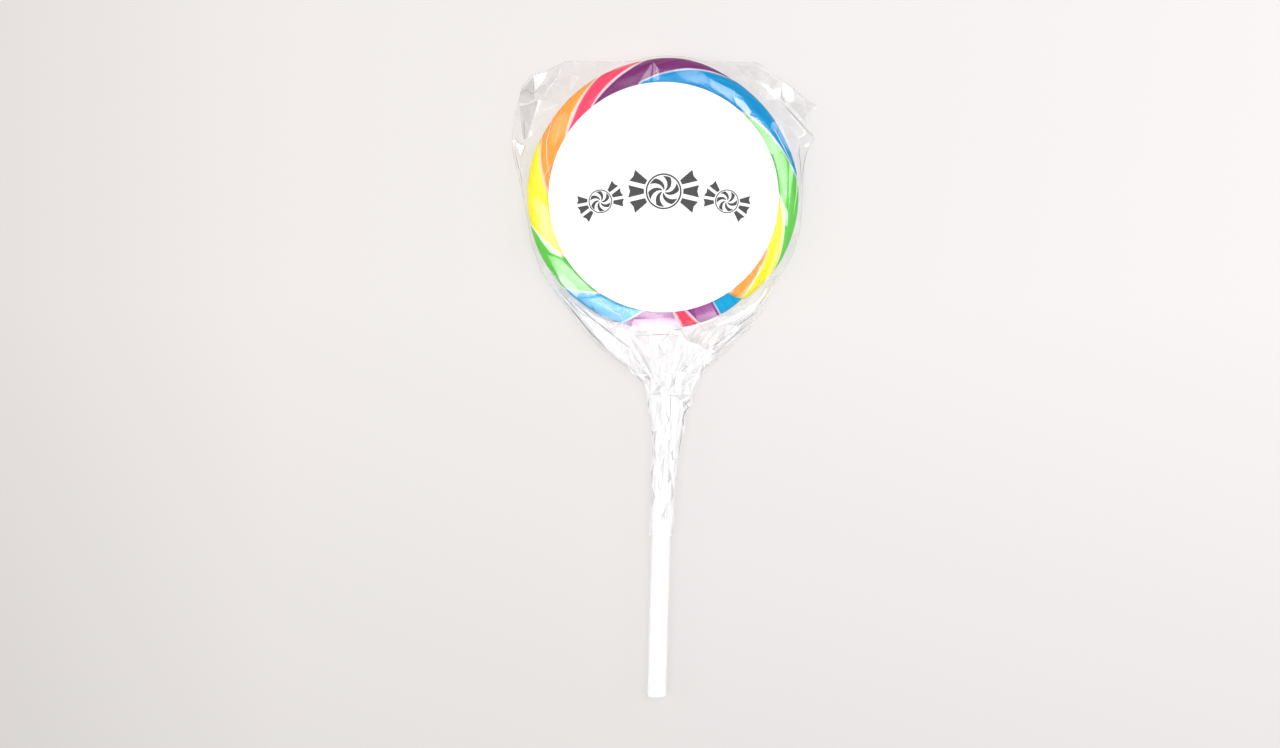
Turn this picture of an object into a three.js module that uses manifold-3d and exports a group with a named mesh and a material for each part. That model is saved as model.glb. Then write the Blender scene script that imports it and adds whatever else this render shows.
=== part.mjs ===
// Swirl lollipop in a clear film bag gathered on its stick, with a round paper label on the bag.
// Millimetres, +Z up. It lies on its back with the label up, the candy disc's centre at the origin
// and the stick towards -Y.
import * as THREE from "three";
import { mergeVertices } from "three/addons/utils/BufferGeometryUtils.js";
import Module from "manifold-3d";

const wasm = await Module();
wasm.setup();

// ---- candy: one rope coiled clockwise outwards, pressed to a disc ----
const CANDY_RADIUS = 37.8;
const ROPE_HALF_HEIGHT = 4.25;
const ROPE_PITCH = 11.5; // radial width one turn of the rope takes up
const ROPE_FUSE = 0.06; // share of the pitch by which each turn runs into its neighbour
const ROPE_ROUNDNESS = 2.5; // exponent of the rope's section, 2 for an ellipse
const ROPE_SPREAD = 0.3; // share of the pitch wound on evenly, the rest steps in at the jog
const TAIL_ANGLE = -55.2; // degrees, where the rope's outer end lies
const TAIL_WIDTH = 0.8; // the rope's outer end, as a share of the pitch
const TAIL_LENGTH = 50; // degrees over which the end comes to full width
const TAIL_LEAN = 2.4; // how far the end's rim side is set back
const TAIL_LEAN_LENGTH = 20; // degrees over which it straightens
const JOG_START = 345; // degrees back from the tail, where the rope steps in under it
const JOG_LENGTH = 80;
const RIM_JOG_START = 350;
const RIM_JOG_LENGTH = 60;
const JOG_FLATTEN = 0.8; // the rope's height where the tail lies over it
const END_LENGTH = 0.4; // how far the rope's round ends run on, in half widths
const ROPE_TURN = 1100; // degrees of rope from the tail to the start in the middle
const ROPE_STEP = 10; // degrees between sections
const SEGMENT_STEPS = 12; // sections in each piece of the sweep
const SECTION_POINTS = 18;
const CORE_RADIUS = 6.4;
const RIM_HALF = 4.6; // width of the disc's rounded rim, from crown to edge

// ---- stick ----
const STICK_RADIUS = 2.65;
const STICK_END_Y = -140.9;
const STICK_IN_CANDY = 10; // how far it goes into the candy past the rim
const STICK_X_AT_RIM = 1.0;
const STICK_X_AT_END = -1.85;
const STICK_EDGE = 0.25;
const STICK_SIDES = 24;
const BORE_GAP = 0.2;

// ---- film bag ----
const FILM = 0.4; // wall over the candy's faces
const CANDY_GAP = 0.3; // between candy and film
const FIN_HALF = 0.4; // half thickness where front and back film lie together
const MIDDLE_Z = ROPE_HALF_HEIGHT + CANDY_GAP + FILM;
const BAG_TOP = 36.9;
const BAG_END = -96;
// the bag's left and right edge down its length: [y, x]
const LEFT_EDGE = [
  [36.9, -27.8], [36.4, -28.4], [35.5, -30.2], [34.4, -32.6], [33.9, -34.2], [33.4, -36.9],
  [31.8, -38.2], [29.6, -39.8], [26.2, -40.5], [22.0, -41.7], [17.8, -42.3], [15.0, -42.5],
  [12.8, -42.4], [10.0, -41.9], [7.2, -41.2], [3.8, -40.4], [-1.8, -39.1], [-7.9, -37.9],
  [-13.5, -37.1], [-15.8, -36.5], [-17.7, -35.6], [-21.6, -34.4], [-23.0, -33.4], [-27.0, -30.7],
  [-29.8, -28.8], [-34.2, -25.1], [-38.7, -21.9], [-43.2, -17.7], [-46.3, -13.5], [-49.6, -8.8],
  [-53.8, -5.1], [-58.9, -4.3], [-61.4, -4.0], [-63.6, -3.3], [-66.2, -3.1], [-96.0, -3.95],
];
const RIGHT_EDGE = [
  [36.9, 25.7], [36.4, 27.0], [35.5, 28.6], [34.1, 30.4], [30.7, 34.9], [27.1, 39.4], [25.7, 41.4],
  [24.7, 42.8], [24.0, 42.9], [23.0, 41.6], [22.6, 40.5], [21.5, 39.5], [20.1, 39.8], [18.4, 40.7],
  [16.7, 41.7], [15.2, 42.1], [12.8, 40.8], [10.8, 40.0], [8.0, 39.5], [3.8, 39.3], [-6.0, 38.7],
  [-10.2, 38.3], [-13.0, 37.6], [-17.2, 36.3], [-21.4, 33.7], [-26.4, 30.4], [-29.8, 29.0],
  [-33.1, 27.8], [-35.9, 25.0], [-38.2, 23.9], [-39.3, 22.3], [-44.3, 17.6], [-47.1, 14.1],
  [-49.6, 11.0], [-51.6, 10.4], [-56.6, 8.3], [-58.9, 8.0], [-62.2, 6.1], [-66.2, 6.1],
  [-68.7, 5.2], [-73.7, 4.5], [-76.5, 3.8], [-84.1, 3.4], [-96.0, 2.8],
];
const NECK_TOP = -24; // where the film starts to close in on the stick
const PINCH_Y = -61; // where it is gathered tightest
const NECK_HALF_HEIGHT = 4.0;
const SLEEVE_WALL = 0.35;
const PLEATS = 9;
const PLEAT_DEPTH = 0.45;
const EAR_WAVE = 1.5; // how far the loose corners stand out of flat
const BAG_STATIONS = 46;
const BAG_POINTS = 19; // points across each face of the bag
const BAG_INSET = 0.15; // how far the bag's slack lies below the film drawn over the candy
const DISC_SIDES = 72;
const DISC_STEPS = 5; // steps in the disc's rounded rim, from crown to middle

// ---- label ----
const LABEL_RADIUS = 31.9;
const LABEL_CENTRE = [0.15, -1.1];
const LABEL_THICK = 0.25;
const LABEL_GAP = 0.2;
const LABEL_SIDES = 96;

const radians = THREE.MathUtils.degToRad;
const smooth = (x, from, length) => THREE.MathUtils.smoothstep(x, from, from + length);

// ---- closed meshes to and from solids ----
function solidOf(geometry) {
  const bare = geometry.clone();
  bare.deleteAttribute("normal");
  bare.deleteAttribute("uv");
  const merged = mergeVertices(bare, 1e-4);
  return new wasm.Manifold(new wasm.Mesh({
    numProp: 3,
    vertProperties: new Float32Array(merged.attributes.position.array),
    triVerts: new Uint32Array(merged.index.array),
  }));
}

function geometryOf(solid) {
  const mesh = solid.getMesh();
  const geometry = new THREE.BufferGeometry();
  geometry.setAttribute("position", new THREE.BufferAttribute(new Float32Array(mesh.vertProperties), 3));
  geometry.setIndex(new THREE.BufferAttribute(new Uint32Array(mesh.triVerts), 1));
  return geometry;
}

// A closed skin through rings of points, each end shut by a fan on its ring's middle.
function loft(rings) {
  const points = rings.flat();
  const size = rings[0].length;
  const faces = [];
  for (let i = 0; i + 1 < rings.length; i++) {
    for (let j = 0; j < size; j++) {
      const a = i * size + j;
      const b = i * size + ((j + 1) % size);
      faces.push(a, b, b + size, a, b + size, a + size);
    }
  }
  for (const [ring, first, flip] of [[rings[0], 0, true], [rings.at(-1), (rings.length - 1) * size, false]]) {
    const middle = points.length;
    points.push([0, 1, 2].map((k) => ring.reduce((sum, p) => sum + p[k], 0) / size));
    for (let j = 0; j < size; j++) {
      const a = first + j;
      const b = first + ((j + 1) % size);
      faces.push(...(flip ? [middle, b, a] : [middle, a, b]));
    }
  }
  const geometry = new THREE.BufferGeometry();
  geometry.setAttribute("position", new THREE.BufferAttribute(new Float32Array(points.flat()), 3));
  geometry.setIndex(faces);
  return geometry;
}

// ---- candy ----
// How many rope widths lie between the rim and the rope's inner edge, turn degrees back from the tail.
function widthsIn(turn) {
  const tail = TAIL_WIDTH + (1 - TAIL_WIDTH) * smooth(turn, 0, TAIL_LENGTH);
  const jogs = [0, 360, 720].map((lap) => smooth(turn, JOG_START + lap, JOG_LENGTH));
  const wound = (turn - TAIL_LENGTH) / 360;
  return tail - ROPE_SPREAD / 3 + ROPE_SPREAD * wound + (1 - ROPE_SPREAD) * (jogs[0] + jogs[1] + jogs[2]);
}

function ropeAt(turn) {
  const share = smooth(turn, RIM_JOG_START, RIM_JOG_LENGTH);
  const under = CANDY_RADIUS - ROPE_PITCH * widthsIn(Math.max(turn - 360, 0));
  const fuse = ROPE_PITCH * ROPE_FUSE;
  const inner = CANDY_RADIUS - ROPE_PITCH * widthsIn(turn) - fuse;
  const outer = THREE.MathUtils.lerp(CANDY_RADIUS, under + fuse, share);
  const low = smooth(turn, JOG_START - 5, 20) * (1 - smooth(turn, JOG_START + 40, 25));
  return {
    angle: radians(TAIL_ANGLE + turn),
    radius: (outer + inner) / 2,
    half: (outer - inner) / 2,
    height: ROPE_HALF_HEIGHT * (1 - (1 - JOG_FLATTEN) * low),
  };
}

function ropeRing(turn, shrink = 1, ahead = 0) {
  const rope = ropeAt(turn);
  const radius = Math.max(rope.radius, 0.1);
  const ring = [];
  for (let i = 0; i < SECTION_POINTS; i++) {
    const t = (i / SECTION_POINTS) * 2 * Math.PI;
    const across = Math.sign(Math.cos(t)) * Math.abs(Math.cos(t)) ** (2 / ROPE_ROUNDNESS);
    const up = Math.sign(Math.sin(t)) * Math.abs(Math.sin(t)) ** (2 / ROPE_ROUNDNESS);
    const r = Math.max(radius + across * rope.half * shrink, 0.05);
    const lean = TAIL_LEAN * across * shrink * (1 - smooth(turn, 0, TAIL_LEAN_LENGTH));
    const a = rope.angle + (ahead + lean) / radius;
    ring.push([r * Math.cos(a), r * Math.sin(a), MIDDLE_Z + up * rope.height * shrink]);
  }
  return ring;
}

// The rope's round end: rings that shrink as they run past the last section.
function roundEnd(turn, way) {
  return [0.35, 0.65, 0.87].map((s) => {
    const shrink = Math.sqrt(1 - s * s);
    return ropeRing(turn, shrink, way * s * END_LENGTH * ropeAt(turn).half);
  });
}

function candySolid() {
  const steps = Math.round(ROPE_TURN / ROPE_STEP);
  let candy = null;
  for (let first = 0; first < steps; first += SEGMENT_STEPS) {
    const last = Math.min(first + SEGMENT_STEPS + 1, steps);
    const rings = [];
    if (first === 0) rings.push(...roundEnd(0, -1).reverse());
    for (let i = first; i <= last; i++) rings.push(ropeRing((i * ROPE_TURN) / steps));
    if (last === steps) rings.push(...roundEnd(ROPE_TURN, 1));
    const piece = solidOf(loft(rings.reverse()));
    candy = candy ? candy.add(piece) : piece;
    if (last === steps) break;
  }
  const core = new THREE.SphereGeometry(1, 20, 12);
  core.scale(CORE_RADIUS, CORE_RADIUS, ROPE_HALF_HEIGHT * 0.98);
  core.translate(0, 0, MIDDLE_Z);
  return candy.add(solidOf(core));
}

// ---- stick ----
const stickTop = -CANDY_RADIUS + STICK_IN_CANDY;
const stickSlope = (STICK_X_AT_END - STICK_X_AT_RIM) / (STICK_END_Y + CANDY_RADIUS);
const stickX = (y) => STICK_X_AT_RIM + stickSlope * (y + CANDY_RADIUS);

function rod(radius, topY, endY, edge) {
  const length = Math.hypot(topY - endY, stickX(topY) - stickX(endY));
  const profile = [
    [0, 0], [radius - edge, 0], [radius, edge],
    [radius, length - edge], [radius - edge, length], [0, length],
  ].map(([r, h]) => new THREE.Vector2(r, h));
  const geometry = new THREE.LatheGeometry(profile, STICK_SIDES);
  geometry.rotateZ(Math.atan2(stickX(endY) - stickX(topY), topY - endY));
  geometry.translate(stickX(endY), endY, MIDDLE_Z);
  return geometry;
}

// ---- film bag ----
// The candy's envelope with a margin all round, as the half height at a distance from the middle.
function envelope(r, margin) {
  const half = RIM_HALF + margin;
  const centre = CANDY_RADIUS + margin - half;
  const out = Math.min(Math.max(r - centre, 0) / half, 1);
  return (ROPE_HALF_HEIGHT + margin) * (1 - out ** ROPE_ROUNDNESS) ** (1 / ROPE_ROUNDNESS);
}

function envelopeDisc(margin, sides) {
  const rim = CANDY_RADIUS + margin;
  const crown = rim - RIM_HALF - margin;
  const upper = [];
  for (let i = 0; i <= DISC_STEPS; i++) {
    const r = crown + (rim - crown) * Math.sin((i / DISC_STEPS) * (Math.PI / 2)) ** (2 / ROPE_ROUNDNESS);
    upper.push([r, i === DISC_STEPS ? 0 : envelope(r, margin)]);
  }
  const lower = upper.slice(0, -1).reverse().map(([r, h]) => [r, -h]);
  const profile = [[0, ROPE_HALF_HEIGHT + margin], ...upper, ...lower, [0, -ROPE_HALF_HEIGHT - margin]];
  const geometry = new THREE.LatheGeometry(profile.reverse().map(([r, h]) => new THREE.Vector2(r, h)), sides);
  geometry.rotateX(Math.PI / 2);
  geometry.translate(0, 0, MIDDLE_Z);
  return geometry;
}

function bagEdge(y, edge) {
  const row = Math.max(edge.findIndex(([at]) => at <= y), 1);
  const [above, below] = [edge[row - 1], edge[row]];
  return THREE.MathUtils.lerp(above[1], below[1], (above[0] - y) / (above[0] - below[0]));
}

// How far out the bag's edge lies in one direction from the candy's middle.
function bagReach(angle) {
  const [dx, dy] = [Math.cos(angle), Math.sin(angle)];
  let reach = CANDY_RADIUS;
  for (let r = reach; r < 60; r += 0.25) {
    const [x, y] = [r * dx, r * dy];
    if (y > BAG_TOP || y < BAG_END || x < bagEdge(y, LEFT_EDGE) || x > bagEdge(y, RIGHT_EDGE)) break;
    reach = r;
  }
  return reach;
}

// Half height of film pulled straight from the candy's face to the bag's edge.
function tentHeight(x, y) {
  const r = Math.hypot(x, y);
  const margin = CANDY_GAP + FILM - BAG_INSET;
  const rim = CANDY_RADIUS + margin;
  const reach = Math.max(bagReach(Math.atan2(y, x)), rim);
  let height = envelope(Math.min(r, rim), margin);
  for (let from = rim - 6; from < Math.min(r, rim); from += 0.5) {
    const rise = envelope(from, margin) - FIN_HALF;
    height = Math.max(height, FIN_HALF + rise * Math.max(reach - r, 0) / (reach - from));
  }
  return Math.max(height, FIN_HALF);
}

// Half height of the film where it closes in on the stick: a rounded lens with pleats that run to the pinch.
function neckHeight(x, y) {
  if (y > NECK_TOP) return 0;
  const axis = stickX(y);
  const edge = x < axis ? LEFT_EDGE : RIGHT_EDGE;
  const out = Math.min(Math.abs((x - axis) / (bagEdge(y, edge) - axis)), 1);
  const close = smooth(-y, -NECK_TOP, NECK_TOP - PINCH_Y);
  const sleeve = STICK_RADIUS + BORE_GAP + SLEEVE_WALL;
  const slim = smooth(-y, -PINCH_Y, PINCH_Y - BAG_END);
  const full = THREE.MathUtils.lerp(THREE.MathUtils.lerp(MIDDLE_Z, NECK_HALF_HEIGHT, close), sleeve, slim);
  const power = 1.5 + 0.5 * close;
  const lens = full * (1 - out ** power) ** (1 / power);
  const fan = Math.atan2(x - axis, Math.max(y - PINCH_Y, 0) + 6);
  const pleat = PLEAT_DEPTH * close * (1 - slim) * out * Math.cos(fan * PLEATS * 2);
  return lens + pleat;
}

// How far the loose upper corners stand above or below the middle plane.
function earWave(x, y) {
  const loose = smooth(Math.hypot(x, y), CANDY_RADIUS + 1, 7) * smooth(y, 2, 12);
  return EAR_WAVE * loose * Math.sin(Math.atan2(y, Math.abs(x)) * 5 + (x > 0 ? 0.6 : 2.4));
}

function bagRing(y) {
  const [left, right] = [bagEdge(y, LEFT_EDGE), bagEdge(y, RIGHT_EDGE)];
  const bore = STICK_RADIUS + BORE_GAP + SLEEVE_WALL;
  const front = [];
  const back = [];
  for (let i = 0; i < BAG_POINTS; i++) {
    const share = (1 - Math.cos((i / (BAG_POINTS - 1)) * Math.PI)) / 2;
    const x = THREE.MathUtils.lerp(left, right, share);
    const sleeve = y < PINCH_Y ? Math.sqrt(Math.max(bore * bore - (x - stickX(y)) ** 2, 0)) : 0;
    const half = Math.min(Math.max(tentHeight(x, y), neckHeight(x, y), sleeve, FIN_HALF), MIDDLE_Z - BAG_INSET);
    const middle = MIDDLE_Z + earWave(x, y);
    front.push([x, y, middle + half]);
    back.push([x, y, middle - half]);
  }
  return [...back, ...front.reverse()];
}

function bagSolid() {
  const rings = [];
  for (let i = 0; i <= BAG_STATIONS; i++) {
    rings.push(bagRing(THREE.MathUtils.lerp(BAG_TOP, BAG_END, i / BAG_STATIONS)));
  }
  const sleeve = rod(STICK_RADIUS + BORE_GAP + SLEEVE_WALL, PINCH_Y, BAG_END, 0);
  return solidOf(loft(rings))
    .add(solidOf(envelopeDisc(CANDY_GAP + FILM, DISC_SIDES)))
    .add(solidOf(sleeve))
    .subtract(solidOf(envelopeDisc(CANDY_GAP, DISC_SIDES)))
    .subtract(solidOf(rod(STICK_RADIUS + BORE_GAP, stickTop, BAG_END - 5, 0)));
}

// ---- the lollipop ----
function labelGeometry() {
  const geometry = new THREE.CylinderGeometry(LABEL_RADIUS, LABEL_RADIUS, LABEL_THICK, LABEL_SIDES);
  geometry.rotateX(Math.PI / 2);
  geometry.translate(...LABEL_CENTRE, 2 * MIDDLE_Z + LABEL_GAP + LABEL_THICK / 2);
  return geometry;
}

function part(name, geometry, color, roughness) {
  const mesh = new THREE.Mesh(geometry, new THREE.MeshStandardMaterial({ color, roughness, metalness: 0 }));
  mesh.name = name;
  return mesh;
}

const stickHole = solidOf(rod(STICK_RADIUS + BORE_GAP, stickTop + BORE_GAP, STICK_END_Y, 0));
const lollipop = new THREE.Group();
lollipop.add(
  part("candy_swirl", geometryOf(candySolid().subtract(stickHole)), 0x2a9fd8, 0.2),
  part("stick", rod(STICK_RADIUS, stickTop, STICK_END_Y, STICK_EDGE), 0xf7f6f7, 0.35),
  part("film_bag", geometryOf(bagSolid()), 0xf2f2f4, 0.1),
  part("label", labelGeometry(), 0xffffff, 0.7),
);

export default lollipop;
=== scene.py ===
# A swirl lollipop in a clear film bag gathered on its stick, with a round paper label on the bag.
# It lies on its back on a pale floor, seen from straight above. Lengths are in mm and angles in
# degrees where nothing else is said.
import functools
import math

import bmesh
import bpy
import numpy as np
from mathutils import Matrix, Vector
from mathutils.geometry import delaunay_2d_cdt


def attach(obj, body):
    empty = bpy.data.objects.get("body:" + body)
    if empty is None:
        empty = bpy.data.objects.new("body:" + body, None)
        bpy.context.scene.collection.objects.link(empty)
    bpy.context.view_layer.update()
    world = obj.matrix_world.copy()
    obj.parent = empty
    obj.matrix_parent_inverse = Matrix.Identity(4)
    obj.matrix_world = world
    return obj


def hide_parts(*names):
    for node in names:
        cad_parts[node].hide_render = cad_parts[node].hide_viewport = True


MM = 0.001

# ---- candy rope, as in the CAD. Its turn is how far round it has run from its outer end ----
CANDY_RADIUS = 37.8
ROPE_HALF_HEIGHT = 4.25
ROPE_PITCH = 11.5
ROPE_FUSE = 0.06  # share of the pitch by which each lap reaches into the next
ROPE_ROUNDNESS = 2.5  # power of the section's curve: 2 is round, more is squarer
ROPE_SPREAD = 0.3  # share of the pitch that each lap moves in steadily. The rest is in the jogs
TAIL_ANGLE = -55.2  # of the outer end on the disc
TAIL_WIDTH = 0.8  # sets the width of the outer end, in pitches
TAIL_LENGTH = 50  # how far the narrower end reaches
TAIL_LEAN = 2.4  # how far the end's face is out of square
TAIL_LEAN_LENGTH = 20
JOG_START = 345  # where each lap starts to move in
JOG_LENGTH = 80
RIM_JOG_START = 350  # where the rope leaves the rim
RIM_JOG_LENGTH = 60
JOG_FLATTEN = 0.8  # share of its height that the rope keeps beside its outer end
FLAT_IN = (340, 20)  # [start, length] of the turns over which it flattens there
FLAT_OUT = (385, 25)  # and comes back to its full height
ROPE_TURN = 1100
MIDDLE_Z = 4.95
CORE_RADIUS = 6.4
CORE_HALF_HEIGHT = ROPE_HALF_HEIGHT * 0.98
CORE_SIDES = 48
CORE_STRIPES = (20.5, 0.1, 0.1)  # stripe values, as rope_ring gives them
END_LENGTH = 0.4  # of the rounded ends, as a share of the rope's half width
END_STEPS = (15, 30, 45, 58, 70, 80)
SECTION_SPACING = 0.6
SECTION_POINTS = 80
SEGMENT_TURN = 120  # of rope in each piece of the sweep
CANDY_CRISP = 40  # the least angle at which an edge of the candy or the label looks crisp

# Where one colour gives way to the next, as the angle of the boundary on the disc, anticlockwise
# from +X: [stripe count, at the crown of the outer turn, at the rim]. The count is whole at a
# boundary, and goes back down where the rope was twisted the other way.
STRIPE_EDGES = [
    (0, -56, -93), (1, -28, -65), (2, -1, -35), (3, 44, 4), (4, 101, 59), (5, 129, 98), (6, 149.5, 119),
    (7, 183, 155), (8, 217, 192.5), (9, 242, 224), (10, 264, 252), (11, 273.4, 278.3), (11.5, 275.7, 281.6),
    (11, 278, 285.2), (10, 294.2, 295.2), (9, 312, 312), (8.6, 322, 322), (10, 362, 350), (12, 440, 420),
    (18, 760, 730), (21, 1100, 1060),
]
# The six colours, twice: from one run to the next the blue and the purple differ a little.
COLOURS = [
    "#ffa94a", "#fdf034", "#64ca4e", "#0092ce", "#7d3172", "#f85070",
    "#ffa94a", "#fdf034", "#64ca4e", "#00a8dc", "#97388f", "#f85070",
]
LINE_COLOUR = "#fff0ee"
LINE_WIDTHS = [0.5, 0.28, 0.36, 0.3, 0.14, 0.46]  # of the white line before each of the six colours
LINE_GROOVE = 0.12  # how deep the rope dips at a white line
GROOVE_WIDTH = 0.8
CANDY_LAYERS = (("Stripes", (0, 1)), ("Density", (2, 2)))  # the columns of the corner values in each
# How far the candy's edge stands out of round: [angle on the disc, mm]
RIM_BULGES = [
    (-60, -0.4), (-44, -0.3), (-30, 0.1), (-5, 0.1), (8, 0.05), (24, -0.45), (50, -0.5), (63, -0.35),
    (72, 0.1), (80, 0.4), (90, 0.2), (100, -0.2), (113, -0.4), (150, -0.4), (163, 0.1), (185, 0.35),
    (205, 0.6), (220, 0.6), (247, 0.5), (262, 0.3), (280, 0), (290, -0.2), (300, -0.4),
]

# ---- stick ----
STICK_RADIUS = 2.65
STICK_END_Y = -140.9
STICK_IN_CANDY = 10
STICK_X_AT_RIM = 1.0
STICK_X_AT_END = -1.85
STICK_EDGE = [(0, 0.55), (0.03, 0.8), (0.1, 0.93), (0.3, 1)]  # [from the end, share of the radius]
STICK_CRISP = 50

# ---- film bag ----
FILM_GAP = 0.5  # film over the candy
FILM_RADIUS = CANDY_RADIUS + FILM_GAP
RIM_HALF = 4.6  # width of the disc's rounded edge
BAG_TOP = 36.9
BAG_END = -96
# the bag's left and right edge down its length: (y, x)
LEFT_EDGE = [
    (36.9, -27.8), (36.4, -28.4), (35.5, -30.2), (34.4, -32.6), (33.9, -34.2), (33.4, -36.9), (31.8, -38.2),
    (29.6, -39.8), (26.2, -40.5), (22, -41.7), (17.8, -42.3), (15, -42.5), (12.8, -42.4), (10, -41.9),
    (7.2, -41.2), (3.8, -40.4), (-1.8, -39.1), (-7.9, -37.9), (-13.5, -37.1), (-15.8, -36.5),
    (-17.7, -35.6), (-21.6, -34.4), (-23, -33.4), (-27, -30.7), (-29.8, -28.8), (-34.2, -25.1),
    (-38.7, -21.9), (-43.2, -17.7), (-46.3, -13.5), (-49.6, -8.8), (-53.8, -5.1), (-58.9, -4.3),
    (-61.4, -4), (-63.6, -3.3), (-66.2, -3.1), (-96, -3.95),
]
RIGHT_EDGE = [
    (36.9, 25.7), (36.4, 27), (35.5, 28.6), (34.1, 30.4), (30.7, 34.9), (27.1, 39.4), (25.7, 41.4),
    (24.7, 42.8), (24, 42.9), (23, 41.6), (22.6, 40.5), (21.5, 39.5), (20.1, 39.8), (18.4, 40.7),
    (16.7, 41.7), (15.2, 42.1), (12.8, 40.8), (10.8, 40), (8, 39.5), (3.8, 39.3), (-6, 38.7), (-10.2, 38.3),
    (-13, 37.6), (-17.2, 36.3), (-21.4, 33.7), (-26.4, 30.4), (-29.8, 29), (-33.1, 27.8), (-35.9, 25),
    (-38.2, 23.9), (-39.3, 22.3), (-44.3, 17.6), (-47.1, 14.1), (-49.6, 11), (-51.6, 10.4), (-56.6, 8.3),
    (-58.9, 8), (-62.2, 6.1), (-66.2, 6.1), (-68.7, 5.2), (-73.7, 4.5), (-76.5, 3.8), (-84.1, 3.4),
    (-96, 2.8),
]
TENT_FOOT = 6  # how far in from its edge the film may leave the candy
TENT_STEP = 0.25
EARS_DOWN_TO = -CANDY_RADIUS * 0.55  # the loose film above this is an ear, and below it the cone
NECK_TOP = -24
PINCH_Y = -61
NECK_HALF_HEIGHT = 4.0
EDGE_HALF = 0.06  # half the gap between front and back film at the bag's edge
EAR_WAVE = 1.5  # how far the loose corners stand out of flat
FLOOR_GAP = 0.04
STICK_GAP = 0.3
# The film creases into flat facets. In the neck they are long and narrow.
NECK_STRETCH = 3.2
NECK_PRESS = 0.45
STRETCH_FROM = 38  # how far down that starts
STRETCH_LENGTH = 20
FACET_TRIES = 7000
FACET_SIZE = (1.3, 5.0)  # least and most
RING_LOOPS = [(12, 14), (24, 14), (31.2, 12), (34.0, 11), (36.4, 10), (37.9, 8)]  # [radius, spacing]
CONE_PLEATS = 17
CONE_STEPS = (7, 13, 20, 28, 37, 46)  # along a pleat
NECK_PLEATS = 9
HEM_POINTS = 12  # across the open end
NECK_WHITE_FROM = -50  # how far down the bag is white with folds all over
GREY_SHARE = 0.07  # of facets in the white film
INNER_TOP = -44  # of the crumpled layers inside the neck
INNER_ROWS = 19
INNER_COLUMNS = 9
INNER_SHEETS = ((31, 1), (32, 1), (33, -1), (34, -1))  # [seed, side]
FOLD_RISE = 0.15  # of a tight fold above the smooth film
FILM_CRISP = 8
PAINTED_GLARE_SOFT = 0.8  # how far the corners of a facet with painted glare take on the look of the facets round them
EDGE_BEAD = 0.08
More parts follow.
